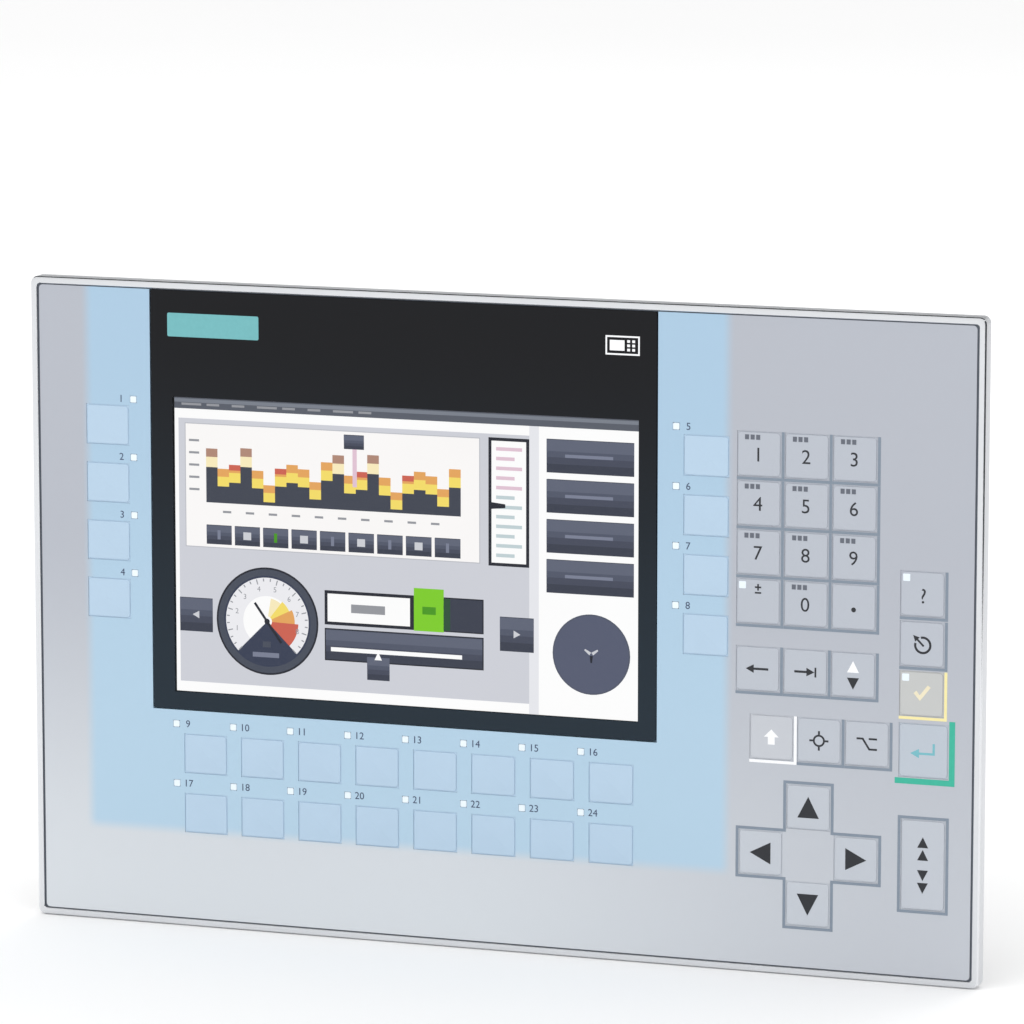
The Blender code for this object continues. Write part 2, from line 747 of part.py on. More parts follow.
def build_main_board(material):
    """Main board with its processor, chips, capacitors and the power socket soldered on."""
    left, right, low, high = MAIN_BOARD
    board = make(
        "main_board",
        block((left, right), (MAIN_BOARD_FRONT, MAIN_BOARD_BACK), (low, high)),
        material,
    )
    root = MAIN_BOARD_BACK - OVERLAP
    socket_outer = rounded(grown(PLUG_NOSE, 4.4), 0.5, (POWER_X, POWER_DEPTH), 1)
    socket_inner = rounded(grown(PLUG_NOSE, 0.8), 0.5, (POWER_X, POWER_DEPTH), 1)
    added = [
        loft(
            [
                (-53.0, socket_outer),
                (-67.0, socket_outer),
                (-67.0, socket_inner),
                (-59.5, socket_inner),
            ],
            facing="under",
        ),
        block(around(-20.0, 27.0), (root, 34.2), around(22.0, 27.0)),
        block(around(20.0, 14.0), (root, 33.0), around(30.0, 10.0)),
        block(around(20.0, 14.0), (root, 33.0), around(14.0, 10.0)),
        block(around(-60.0, 20.0), (root, 33.2), around(20.0, 20.0)),
        block(around(-84.0, 18.0), (root, 37.5), around(-30.0, 12.0)),
    ]
    for column in range(3):
        can = disc(4.0, (40.0 + 10.0 * column, -22.0))
        added.append(loft([(root, can), (43.0, can)]))
    join(board, added)


def build_network_jacks(material):
    """Two shielded sockets side by side in one can."""
    can = block(
        around(NETWORK_X, NETWORK_WIDTH), (MAIN_BOARD_BACK + GAP, NETWORK_BACK), (SOCKET_FACE, -50.0)
    )
    jacks = make("network_jacks", can, material)
    cavities = [
        block(around(NETWORK_X + side * 8.0, 11.8), (34.0, 42.4), (SOCKET_FACE - BEYOND, -58.4))
        for side in (-1, 1)
    ]
    cut(jacks, cavities)


def build_serial_port(material):
    """Nine-way socket: flange, D-shaped shell and two hexagonal jack posts."""
    across = around(SERIAL_X, SERIAL_FLANGE[0])
    depths = around(SERIAL_DEPTH, SERIAL_FLANGE[1])
    port = make("serial_port", block(across, depths, (SOCKET_FACE, SOCKET_FACE + 1.0)), material)
    shell = []
    half_height = 4.2
    taper = 0.1
    for u, v in rounded((17.0, 2 * half_height), 1.6):
        shell.append((SERIAL_X + u * (1 + taper * v / half_height), SERIAL_DEPTH + v))
    posts = []
    for side in (-1, 1):
        centre = (SERIAL_X + side * 12.5, SERIAL_DEPTH)
        post = disc(2.6, centre, 6)
        posts.append(loft([(SOCKET_FACE - 5.0, post), (SOCKET_FACE + OVERLAP, post)], "under"))
    body = block(around(SERIAL_X, 19.5), around(SERIAL_DEPTH, 10.6), (SOCKET_FACE + 0.6, -55.0))
    nose = loft([(SOCKET_FACE - 5.8, shell), (SOCKET_FACE + OVERLAP, shell)], "under")
    join(port, posts + [body, nose])


def build_usb_ports(material):
    """Two stacked sockets in one can."""
    can = block(around(USB_X, USB_WIDTH), (MAIN_BOARD_BACK + GAP, USB_BACK), (SOCKET_FACE, -51.4))
    ports = make("usb_ports", can, material)
    cavities = [
        block(around(USB_X, 12.6), around(middle, 5.4), (SOCKET_FACE - BEYOND, -59.0))
        for middle in (36.0, 43.2)
    ]
    cut(ports, cavities)


def build_power_plug(material):
    """Two-pole screw plug: a nose in the board's socket and a body below the cover."""
    def section(size, height):
        return height, rounded(size, 0.6, segments=1)

    nose_end = 10.0
    shoulder = 3.0
    foot = -9.5
    plug = make(
        "power_plug",
        loft(
            [
                section(grown(PLUG_NOSE, -0.4), nose_end),
                section(PLUG_NOSE, nose_end - 0.5),
                section(PLUG_NOSE, shoulder),
                section(PLUG_BODY, shoulder),
                section(PLUG_BODY, foot + 0.5),
                section(grown(PLUG_BODY, -0.8), foot),
            ],
            "under",
        ),
        material,
        (POWER_X, POWER_DEPTH, BOX_LOW - 0.5),
    )
    wires = []
    for side in (-1, 1):
        hole = disc(1.7, (side * 2.9, 0.0), 8)
        wires.append(loft([(foot - BEYOND, hole), (foot + 5.5, hole)], "under"))
    cut(plug, wires)


def build_card_lock(material):
    """Slide on the cover's right wall that bars both card slots in its middle position."""
    wide = (10.0, 16.0)
    grip = grown(wide, -1.6)
    make(
        "card_lock",
        loft(
            [
                (GAP, rounded(wide, 1.0, segments=2)),
                (GAP + 1.4, rounded(wide, 1.0, segments=2)),
                (GAP + 2.0, rounded(grip, 1.0, segments=2)),
            ],
            "side",
        ),
        material,
        (BOX_RIGHT, CARD_LOCK_AT[0], CARD_LOCK_AT[1]),
    )


def build_clips(plastic, steel):
    """Four clips that hook into the cover's upper and lower walls, with their clamp screws.

    The clip mesh is that of an upper clip with its origin on the screw's axis; a lower clip is
    the same piece turned half a turn about Y.
    """
    low = CLIP_INNER - SCREW_HEIGHT
    high = CLIP_OUTER - SCREW_HEIGHT
    size = (CLIP_WIDTH, high - low)
    centre = (0.0, (low + high) / 2)
    front, back = CLIP_DEPTHS
    edge = 1.0
    bevelled = grown(size, -2 * edge)
    pattern = make(
        "clip_pattern",
        loft(
            [
                (front, rounded(size, 1.5, centre, 2)),
                (back - edge, rounded(size, 1.5, centre, 2)),
                (back, rounded(bevelled, 1.0, centre, 2)),
            ]
        ),
        plastic,
    )
    wall_inner = PLUG_SIZE[1] / 2 - COVER_WALL - SCREW_HEIGHT
    lip = (wall_inner - 1.8, wall_inner - 0.4)
    join(pattern, [block(around(0.0, HOOK_WIDTH), (13.3, 15.7), (lip[0] + OVERLAP, low + 1.0))])
    join(pattern, [block(around(0.0, HOOK_WIDTH), (13.5, 18.2), lip)])
    hole = disc(SCREW_RADIUS + GAP)
    cut(pattern, [loft([(front - BEYOND, hole), (back + BEYOND, hole)])])
    pattern.hide_render = True
    clip_mesh = evaluated_mesh(pattern)
    screw = screw_skin(SCREW_TIP, SCREW_SHOULDER, SCREW_END, SCREW_RADIUS, SCREW_HEAD)
    screw_mesh = mesh_of("clip_screw", [screw])
    places = {
        "upper_left": (-CLIP_X, SCREW_HEIGHT, 0.0),
        "upper_right": (CLIP_X, SCREW_HEIGHT, 0.0),
        "lower_left": (-CLIP_X, -SCREW_HEIGHT, math.pi),
        "lower_right": (CLIP_X, -SCREW_HEIGHT, math.pi),
    }
    for corner, (x, z, turn) in places.items():
        place(f"mounting_clip_{corner}", clip_mesh, plastic, (x, 0.0, z), turn)
        place(f"clip_screw_{corner}", screw_mesh, steel, (x, 0.0, z), turn)


def build_cover_screws(material):
    shoulder = COVER_STEP + GAP
    mesh = mesh_of("cover_screw", [screw_skin(10.0, shoulder, shoulder + 2.4, 1.4, 2.8)])
    for vertical, side_z in (("upper", 1), ("lower", -1)):
        for horizontal, side_x in (("left", -1), ("right", 1)):
            at = (side_x * POST_AT[0], 0.0, side_z * POST_AT[1])
            place(f"cover_screw_{vertical}_{horizontal}", mesh, material, at)


def clear_scene():
    for piece in list(bpy.data.objects):
        bpy.data.objects.remove(piece)


def main():
    clear_scene()
    centre = bpy.data.objects.new("panel_centre", None)
    centre.location = (0.0, 0.0, CENTRE_HEIGHT * MM)
    bpy.context.scene.collection.objects.link(centre)

    aluminium = finish("aluminium", (0.80, 0.81, 0.83), 0.38, 1.0)
    foil_grey = finish("foil_grey", (0.80, 0.81, 0.83), 0.5)
    window_black = finish("window_black", (0.15, 0.17, 0.20), 0.12)
    rubber = finish("gasket_rubber", (0.10, 0.10, 0.11), 0.8)
    board_green = finish("board_green", (0.10, 0.33, 0.22), 0.45)
    steel = finish("steel", (0.72, 0.73, 0.74), 0.3, 1.0)
    key_grey = finish("key_grey", (0.83, 0.84, 0.86), 0.45)
    key_white = finish("key_white", (0.93, 0.94, 0.94), 0.45)
    key_green = finish("key_green", (0.55, 0.82, 0.72), 0.45)
    key_amber = finish("key_amber", (0.93, 0.88, 0.66), 0.45)
    pad_blue = finish("pad_blue", (0.76, 0.85, 0.94), 0.25)
    label_film = finish("label_film", (0.80, 0.88, 0.95), 0.6)
    cover_grey = finish("cover_plastic", (0.60, 0.61, 0.63), 0.55)
    plug_green = finish("plug_green", (0.18, 0.45, 0.28), 0.5)
    black = finish("black_plastic", (0.09, 0.09, 0.10), 0.5)

    build_front_frame(aluminium)
    build_key_foil(foil_grey)
    build_display_window(window_black)
    build_lcd_module(steel)
    build_keypad_board(board_green)
    build_gasket(rubber)
    build_keys(key_grey, key_white, key_green, key_amber)
    build_page_key(key_grey)
    build_function_keys(pad_blue, label_film)
    build_rear_cover(cover_grey)
    build_main_board(board_green)
    build_network_jacks(steel)
    build_serial_port(steel)
    build_usb_ports(steel)
    build_power_plug(plug_green)
    build_card_lock(black)
    build_clips(black, steel)
    build_cover_screws(steel)


main()
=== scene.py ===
"""Looks of a cabinet operator panel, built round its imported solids.

+X is right and +Z is up as the operator sees it, and the front faces -Y. Until a mesh is made,
lengths are millimetres, with x and z counted from the middle of the bezel and y from the back of
its rim.
"""

import math

import bmesh
import bpy
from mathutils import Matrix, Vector


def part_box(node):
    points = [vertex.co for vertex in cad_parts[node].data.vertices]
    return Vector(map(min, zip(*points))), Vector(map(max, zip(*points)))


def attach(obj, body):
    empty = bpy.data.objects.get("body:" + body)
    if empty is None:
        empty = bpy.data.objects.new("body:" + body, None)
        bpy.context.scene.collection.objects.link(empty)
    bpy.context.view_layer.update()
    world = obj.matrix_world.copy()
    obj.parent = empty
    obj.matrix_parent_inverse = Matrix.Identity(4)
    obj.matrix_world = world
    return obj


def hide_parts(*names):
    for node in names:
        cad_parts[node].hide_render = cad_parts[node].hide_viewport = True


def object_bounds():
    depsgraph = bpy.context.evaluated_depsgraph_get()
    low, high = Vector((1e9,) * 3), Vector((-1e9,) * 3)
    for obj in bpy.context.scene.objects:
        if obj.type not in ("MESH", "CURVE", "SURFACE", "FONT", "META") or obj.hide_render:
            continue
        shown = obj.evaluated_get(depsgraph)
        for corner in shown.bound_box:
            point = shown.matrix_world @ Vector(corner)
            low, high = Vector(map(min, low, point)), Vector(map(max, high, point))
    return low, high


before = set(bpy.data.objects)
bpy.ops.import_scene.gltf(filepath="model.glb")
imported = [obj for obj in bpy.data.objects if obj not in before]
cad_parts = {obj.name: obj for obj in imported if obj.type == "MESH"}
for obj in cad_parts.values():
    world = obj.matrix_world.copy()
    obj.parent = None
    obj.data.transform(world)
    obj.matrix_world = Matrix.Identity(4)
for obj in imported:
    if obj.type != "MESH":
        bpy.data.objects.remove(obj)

MM = 0.001
HOUSING = "housing"
CORNERS = ("upper_left", "upper_right", "lower_left", "lower_right")
INK = 0.03  # thickness of a printed layer
SUNK = 0.05  # how far a small piece runs into the surface it sits on

cad_low, cad_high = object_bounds()
bezel_low, bezel_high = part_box("front_frame")
MIDDLE = Vector(((bezel_low.x + bezel_high.x) / 2, 0.0, (bezel_low.z + bezel_high.z) / 2))


# ---- places from the solids

class Box:
    """A solid's box, in millimetres from the middle of the bezel."""

    def __init__(self, node):
        low, high = [(corner - MIDDLE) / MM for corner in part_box(node)]
        self.x, self.y, self.z = zip(low, high)
        self.centre = (low + high) / 2
        self.width, self.depth, self.height = high - low
        self.at = (self.centre.x, self.centre.z)
        self.size = (self.width, self.height)


def at_corners(kind):
    """Name and box of each of a kind's four solids, one for each corner."""
    return [(f"{kind}_{corner}", Box(f"{kind}_{corner}")) for corner in CORNERS]


# ---- outlines

def around(centre, size):
    return centre - size / 2, centre + size / 2


def grown(size, amount):
    return size[0] + amount, size[1] + amount


def rectangle(u, v):
    return [(u[0], v[0]), (u[1], v[0]), (u[1], v[1]), (u[0], v[1])]


def rounded(size, radius, centre=(0.0, 0.0), segments=6):
    """A rectangle with rounded corners, counter-clockwise from its right side's upper end."""
    points = []
    inner = grown(size, -2 * radius)
    for corner, (side_u, side_v) in enumerate(((1, 1), (-1, 1), (-1, -1), (1, -1))):
        middle = (centre[0] + side_u * inner[0] / 2, centre[1] + side_v * inner[1] / 2)
        points += arc(radius, 90 * corner, 90 * corner + 90, middle, segments)
    return points


def arc(radius, start, end, centre=(0.0, 0.0), steps=24):
    """Points along a circle between two angles in degrees."""
    angles = [math.radians(start + (end - start) * step / steps) for step in range(steps + 1)]
    return [(centre[0] + radius * math.cos(a), centre[1] + radius * math.sin(a)) for a in angles]


def disc(radius, centre=(0.0, 0.0), sides=24):
    return arc(radius, 0, 360, centre, sides)[:-1]


def hexagon(radius, centre, sides=24):
    """A hexagon drawn with extra points on its sides, so that it lofts to a disc."""
    points = []
    for angle in [2 * math.pi * side / sides for side in range(sides)]:
        within = (angle + math.pi / 6) % (math.pi / 3) - math.pi / 6
        reach = radius * math.cos(math.pi / 6) / math.cos(within)
        points.append((centre[0] + reach * math.cos(angle), centre[1] + reach * math.sin(angle)))
    return points


def sector(inner, outer, start, end, centre=(0.0, 0.0), steps=24):
    """A stretch of a ring between two angles in degrees."""
    return arc(outer, start, end, centre, steps) + arc(inner, end, start, centre, steps)


def stroke(start, end, width):
    """A straight bar between two points."""
    along = Vector((end[0] - start[0], end[1] - start[1])).normalized() * width / 2
    corners = ((start, -1), (end, -1), (end, 1), (start, 1))
    return [(point[0] - side * along.y, point[1] + side * along.x) for point, side in corners]


def plus(reach, width):
    """A plus sign, counter-clockwise from its right arm's lower corner."""
    arm = [(reach, -width / 2), (reach, width / 2), (width / 2, width / 2)]
    return [point for turn in range(4) for point in moved(arm, turn=90 * turn)]


def moved(outline, centre=(0.0, 0.0), scale=1.0, turn=0.0):
    """An outline turned by an angle in degrees, scaled and moved."""
    cosine = math.cos(math.radians(turn)) * scale
    sine = math.sin(math.radians(turn)) * scale
    return [(centre[0] + u * cosine - v * sine, centre[1] + u * sine + v * cosine) for u, v in outline]


def box_lines(centre, reach, width, open_side=None):
    """Four lines round a place, or three where the side in one direction is left open."""
    x = around(centre[0], 2 * reach[0])
    z = around(centre[1], 2 * reach[1])
    tall = (z[0] - width / 2, z[1] + width / 2)
    flat = (x[0] + width / 2, x[1] - width / 2)
    sides = {
        (-1, 0): rectangle(around(x[0], width), tall),
        (1, 0): rectangle(around(x[1], width), tall),
        (0, -1): rectangle(flat, around(z[0], width)),
        (0, 1): rectangle(flat, around(z[1], width)),
    }
    return [outline for side, outline in sides.items() if side != open_side]


# ---- skins

FACINGS = {
    "front": lambda u, v, depth: (u, depth, v),
    "under": lambda u, v, depth: (u, v, depth),
    "side": lambda u, v, depth: (depth, u, v),
}


def loft(sections, facing="front", ring=False):
    """A closed skin through sections (depth, outline) with equal point counts.

    The depth runs along Y for the facing "front", along Z for "under" and along X for "side".
    """
    place = FACINGS[facing]
    count = len(sections[0][1])
    rows = len(sections)
    vertices = [place(u, v, depth) for depth, outline in sections for u, v in outline]
    faces = []
    for row in range(rows if ring else rows - 1):
        here = row * count
        there = (row + 1) % rows * count
        for i in range(count):
            j = (i + 1) % count
            faces.append((here + i, here + j, there + j, there + i))
    if not ring:
        faces.append(tuple(range(count)))
        faces.append(tuple(range((rows - 1) * count, rows * count)))
    return vertices, faces


def rectangles(rows, centre=(0.0, 0.0), segments=6):
    """Sections that are rounded rectangles, from rows of depth, size and corner radius."""
    return [(depth, rounded(size, radius, centre, segments)) for depth, size, radius in rows]


def circles(rows, centre, sides=24, outline=disc):
    """Sections that are circles, or hexagons, from rows of depth and radius."""
    return [(depth, outline(radius, centre, sides)) for depth, radius in rows]


def stack(rows, centre=(0.0, 0.0), segments=6, facing="front", ring=False):
    """A skin through rounded rectangles."""
    return loft(rectangles(rows, centre, segments), facing, ring)


def straight(size, radius, start, end):
    """Rows of a wall between two depths."""
    return [(start, size, radius), (end, size, radius)]


def plate(outline, depths, facing="front"):
    """A skin of one outline between two depths."""
    return loft([(depth, outline) for depth in depths], facing)


def block(x, y, z):
    return plate(rectangle(x, z), y)


def printed(outlines, surface, outward=-1):
    """Thin printed layers on a surface that faces the operator, or away with outward 1."""
    depths = (surface - outward * SUNK, surface + outward * INK)
    return [plate(outline, depths) for outline in outlines]


def edge_steps(face, edge, toward, steps=4):
    """Depth and inset at steps round an edge, from the face to the full outline.

    The depth moves from the face in the direction of toward, +1 or -1.
    """
    angles = [math.pi / 2 * step / steps for step in range(steps + 1)]
    return [(face + toward * edge * (1 - math.cos(a)), edge * (1 - math.sin(a))) for a in angles]


def curl(size, radius, face, edge, toward, steps=6):
    """Rows of a rounded edge, from the outline drawn in on a face to the full outline."""
    insets = edge_steps(face, edge, toward, steps)
    return [(depth, grown(size, -2 * inset), radius) for depth, inset in insets]


# ---- pieces

def placed(name, data):
    """A new object in the scene."""
    made = bpy.data.objects.new(name, data)
    bpy.context.scene.collection.objects.link(made)
    return made


def worked_out(made):
    """A new mesh of an object with its modifiers or its characters worked out."""
    bpy.context.view_layer.update()
    return bpy.data.meshes.new_from_object(made.evaluated_get(bpy.context.evaluated_depsgraph_get()))


def lettering(text, height, centre, surface, depth=INK, sunk=SUNK):
    """Skins of upright characters that face the operator, centred on a point."""
    cap_share = 0.72  # height of a figure in the built-in font, as a share of its size
    curve = bpy.data.curves.new("characters", "FONT")
    curve.body = text
    curve.size = height / cap_share
    curve.align_x = "CENTER"
    curve.align_y = "CENTER"
    curve.resolution_u = 4
    curve.extrude = (depth + sunk) / 2
    helper = placed("characters", curve)
    mesh = worked_out(helper)
    middle = surface + (sunk - depth) / 2
    vertices = [(centre[0] + v.co.x, middle - v.co.z, centre[1] + v.co.y) for v in mesh.vertices]
    faces = [tuple(polygon.vertices) for polygon in mesh.polygons]
    bpy.data.objects.remove(helper)
    bpy.data.meshes.remove(mesh)
    return vertices, faces


def mesh_of(name, skins):
    """A smoothly shaded mesh of skins, in the model's own place and in metres."""
    model = bmesh.new()
    for vertices, faces in skins:
        made = [model.verts.new(Vector(v) * MM + MIDDLE) for v in vertices]
        for face in faces:
            model.faces.new([made[index] for index in face])
    bmesh.ops.remove_doubles(model, verts=model.verts, dist=1e-7)
    bmesh.ops.recalc_face_normals(model, faces=model.faces)
    mesh = bpy.data.meshes.new(name)
    model.to_mesh(mesh)
    model.free()
    mesh.shade_smooth()
    return sharpened(mesh)


def sharpened(mesh):
    """A mesh with its steep edges marked sharp."""
    mesh.set_sharp_from_angle(angle=math.radians(35))
    return mesh


def piece(name, skins, material, body=HOUSING, node=None):
    """A finished piece made of skins, riding on a body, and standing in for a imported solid."""
    made = placed(name, mesh_of(name, skins))
    made.data.materials.append(material)
    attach(made, body)
    if node:
        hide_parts(node)
    return made


def cut(target, skins):
    """Cuts skins that don't touch one another from a piece."""
    helper = placed("helper", mesh_of("helper", skins))
    boolean = target.modifiers.new("cut", "BOOLEAN")
    boolean.operation = "DIFFERENCE"
    boolean.solver = "EXACT"
    boolean.object = helper
    mesh = worked_out(target)
    target.modifiers.remove(boolean)
    target.data = sharpened(mesh)
    bpy.data.objects.remove(helper)


def dress(node, material):
    """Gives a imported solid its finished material."""
    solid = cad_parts[node]
    solid.data.materials.clear()
    solid.data.materials.append(material)


# ---- materials

def display_colour(red, green, blue):
    """Linear colour of a display colour with values from 0 to 255."""
    linear = []
    for value in (red, green, blue):
        share = value / 255
        linear.append(share / 12.92 if share <= 0.04045 else ((share + 0.055) / 1.055) ** 2.4)
    return (*linear, 1.0)


class Finish:
    """A node material while it is being made. Sizes are millimetres in the piece's own place."""

    def __init__(self, name, colour, roughness, metallic=0.0):
        self.material = bpy.data.materials.new(name)
        self.material.use_nodes = True
        self.tree = self.material.node_tree
        self.surface = self.tree.nodes["Principled BSDF"]
        self.set("Base Color", display_colour(*colour))
        self.set("Roughness", roughness)
        self.set("Metallic", metallic)
        coordinates = self.node("TexCoord").outputs["Object"]
        offset = self.node("VectorMath", {0: coordinates, 1: MIDDLE}, operation="SUBTRACT")
        scaled = self.node("VectorMath", {0: offset.outputs[0], "Scale": 1 / MM}, operation="SCALE")
        self.place = scaled.outputs[0]
        self.x, self.y, self.z = self.node("SeparateXYZ", {0: self.place}).outputs

    def feed(self, socket, value):
        """Gives an input a value, or links another node's output to it."""
        if isinstance(value, bpy.types.NodeSocket):
            self.tree.links.new(value, socket)
        else:
            socket.default_value = value

    def set(self, name, value):
        self.feed(self.surface.inputs[name], value)

    def node(self, kind, inputs=(), **settings):
        """A new node, with its settings, and with its inputs by name or number."""
        made = self.tree.nodes.new(f"ShaderNode{kind}")
        for name, value in settings.items():
            setattr(made, name, value)
        for name, value in dict(inputs).items():
            self.feed(made.inputs[name], value)
        return made

    def noise(self, size, detail=2.0, stretch=(1.0, 1.0, 1.0)):
        """Cloudy values from 0 to 1 with features of about this size."""
        place = self.node("VectorMath", {0: self.place, 1: stretch}, operation="DIVIDE").outputs[0]
        inputs = {"Vector": place, "Scale": 1 / size, "Detail": detail}
        return self.node("TexNoise", inputs).outputs["Fac"]

    def cells(self, size):
        """Distance to the nearest of scattered points about this far apart."""
        return self.node("TexVoronoi", {"Vector": self.place, "Scale": 1 / size}).outputs["Distance"]

    def between(self, value, low, high):
        """0 below low and 1 above high, with a soft change between them."""
        ends = {"Value": value, "From Min": low, "From Max": high}
        return self.node("MapRange", ends, interpolation_type="SMOOTHSTEP").outputs["Result"]

    def spread(self, value, low, high):
        """A value from 0 to 1 spread over another range."""
        return self.node("MapRange", {"Value": value, "To Min": low, "To Max": high}).outputs["Result"]

    def product(self, first, *others):
        for other in others:
            first = self.node("Math", {0: first, 1: other}, operation="MULTIPLY").outputs[0]
        return first

    def inside(self, x, z, fade):
        """1 inside a rectangle and 0 outside it, with faded edges."""
        return self.product(
            self.between(self.x, x[0] - fade, x[0] + fade),
            self.between(self.x, x[1] + fade, x[1] - fade),
            self.between(self.z, z[0] - fade, z[0] + fade),
            self.between(self.z, z[1] + fade, z[1] - fade),
        )

    def mix(self, share, first, second):
        """Blend of two colours, each a display colour or another node's output."""
        inputs = {0: share}
        for socket, value in ((6, first), (7, second)):  # the node's inputs for colours
            inputs[socket] = value if isinstance(value, bpy.types.NodeSocket) else display_colour(*value)
        return self.node("Mix", inputs, data_type="RGBA").outputs[2]

    def vary(self, colour, amount, size):
        """Colours the surface with a faint cloudy variation of one colour."""
        darker = [max(0, value - amount) for value in colour]
        lighter = [min(255, value + amount) for value in colour]
        self.set("Base Color", self.mix(self.noise(size), darker, lighter))

    def bump(self, height, depth):
        """Surface relief of this depth in millimetres."""
        relief = self.node("Bump", {"Strength": 1.0, "Distance": depth * MM, "Height": height})
        self.set("Normal", relief.outputs["Normal"])


def plastic(name, colour, roughness=0.5, grain=0.25, depth=0.02, amount=3):
    """Moulded plastic with a fine eroded grain."""
    finish = Finish(name, colour, roughness)
    finish.vary(colour, amount, 9.0)
    finish.set("Roughness", finish.spread(finish.noise(2.5), roughness - 0.05, roughness + 0.07))
    finish.bump(finish.cells(grain), depth)
    return finish.material


def metal(name, colour, roughness, stretch=(1.0, 1.0, 1.0), depth=0.004):
    """Bare or plated metal, with marks drawn out along one direction by the stretch."""
    finish = Finish(name, colour, roughness, 1.0)
    finish.vary(colour, 8, 12.0)
    marks = finish.noise(0.35, 4.0, stretch)
    finish.set("Roughness", finish.spread(marks, roughness - 0.1, roughness + 0.12))
    finish.bump(marks, depth)
    return finish.material


def ink_finish(name, colour, roughness=0.45):
    """Screen-printed ink with slightly uneven cover."""
    finish = Finish(name, colour, roughness)
    finish.vary(colour, 4, 1.2)
    finish.bump(finish.noise(0.3), 0.006)
    return finish.material


def bezel_finish():
    """Bead-blasted and anodised aluminium with a polished edge."""
    finish = Finish("aluminium", (214, 216, 219), 0.4, 1.0)
    finish.vary((222, 224, 227), 3, 25.0)
    normal = finish.node("NewGeometry").outputs["Normal"]
    forward = finish.node("SeparateXYZ", {0: normal}).outputs[1]
    facing = finish.node("Math", {0: forward, 1: 0.0}, operation="ABSOLUTE").outputs[0]
    edge = finish.product(finish.between(facing, 0.1, 0.3), finish.between(facing, 0.97, 0.9))
    finish.set("Roughness", finish.spread(edge, 0.42, 0.14))
    finish.bump(finish.noise(0.18, 3.0), 0.008)
    return finish.material


FOIL_GREY = (190, 194, 200)


def foil_grey_with_painted_light(finish):
    """Grey of the front with painted light and shade: lighter towards the lower left, darker towards the
    upper right.
    """
    # painted light: these masks make the grey lighter low down and to the left
    low = finish.between(finish.z, 30, -100)
    left = finish.spread(finish.between(finish.x, 150, -30), 0.35, 1.0)
    return finish.mix(finish.product(low, left), (171, 175, 184), (204, 209, 214))


def film_finish(finish, colour):
    """The front's printed film in one colour, with its fine matt texture."""
    finish.set("Base Color", colour)
    finish.set("Roughness", finish.spread(finish.noise(1.4, 3.0), 0.38, 0.5))
    finish.bump(finish.noise(0.22, 2.0), 0.012)
    return finish.material


def cap_finish(name, tint):
    """Printed key film that follows the front's grey with its painted light and shade, tinted by one
    colour.
    """
    finish = Finish(name, FOIL_GREY, 0.42)
    share = finish.spread(finish.noise(9.0), 0.25, 0.31)
    return film_finish(finish, finish.mix(share, foil_grey_with_painted_light(finish), tint))


def foil_finish(window, foil):
    """Printed foil: grey with painted light and shade, and a light blue field round the display that
    fades at its edges.
    """
    finish = Finish("printed_foil", FOIL_GREY, 0.42)
    blue = finish.mix(finish.between(finish.z, -75, 95), (170, 197, 216), (160, 188, 210))
    x = (window.x[0] - 21.5, window.x[1] + 22.5)
    z = (window.z[0] - 38.7, 2 * foil.z[1])  # upward it runs past the foil's edge
    return film_finish(finish, finish.mix(finish.inside(x, z, 2.2), foil_grey_with_painted_light(finish), blue))


def lens_finish(opening_x, opening_z):
    """Clear lens with a faint painted glare, a white glow that stands in for the glass's reflection, and
    a black printed border round the lit opening.
    """
    finish = Finish("display_lens", (14, 16, 20), 0.1)
    black = finish.mix(finish.between(finish.z, -33, 90), (30, 42, 52), (14, 15, 19))
    finish.set("Base Color", black)
    finish.set("Specular IOR Level", 0.17)
    finish.bump(finish.noise(30.0), 0.01)
    clear = finish.node("BsdfTransparent").outputs[0]
    # painted reflection: a faint white glow over the opening in place of the glass's reflection
    painted_glare = finish.node("Emission").outputs[0]
    glass = finish.node("MixShader", {0: 0.008, 1: clear, 2: painted_glare}).outputs[0]
    opening = finish.inside(opening_x, opening_z, 0.06)
    whole = finish.node("MixShader", {0: opening, 1: finish.surface.outputs[0], 2: glass}).outputs[0]
    finish.feed(finish.tree.nodes["Material Output"].inputs["Surface"], whole)
    return finish.material


def pad_finish():
    """Clear tinted window over the label film."""
    finish = Finish("pad_window", (176, 198, 216), 0.3)
    finish.vary((174, 197, 217), 2, 14.0)
    finish.set("Specular IOR Level", 0.4)
    finish.bump(finish.noise(5.0), 0.01)
    return finish.material


def glow_finish(name, colour):
    """A lit part of the display picture, with the faint unevenness of a backlight."""
    finish = Finish(name, (4, 4, 5), 0.35)
    dim = [value * 0.975 for value in colour]
    finish.set("Emission Color", finish.mix(finish.noise(45.0), dim, colour))
    finish.set("Emission Strength", 1.0)
    finish.set("Specular IOR Level", 0.05)
    return finish.material


def board_finish():
    """Green solder mask over a grid of traces."""
    finish = Finish("circuit_board", (18, 84, 54), 0.35)
    inputs = {"Vector": finish.place, "Scale": 0.35, "Distortion": 6.0}
    wave = finish.node("TexWave", inputs, bands_direction="X")
    traces = finish.between(wave.outputs["Fac"], 0.45, 0.55)
    finish.set("Base Color", finish.mix(traces, (14, 70, 44), (28, 104, 66)))
    finish.bump(traces, 0.03)
    return finish.material


# ---- the display picture

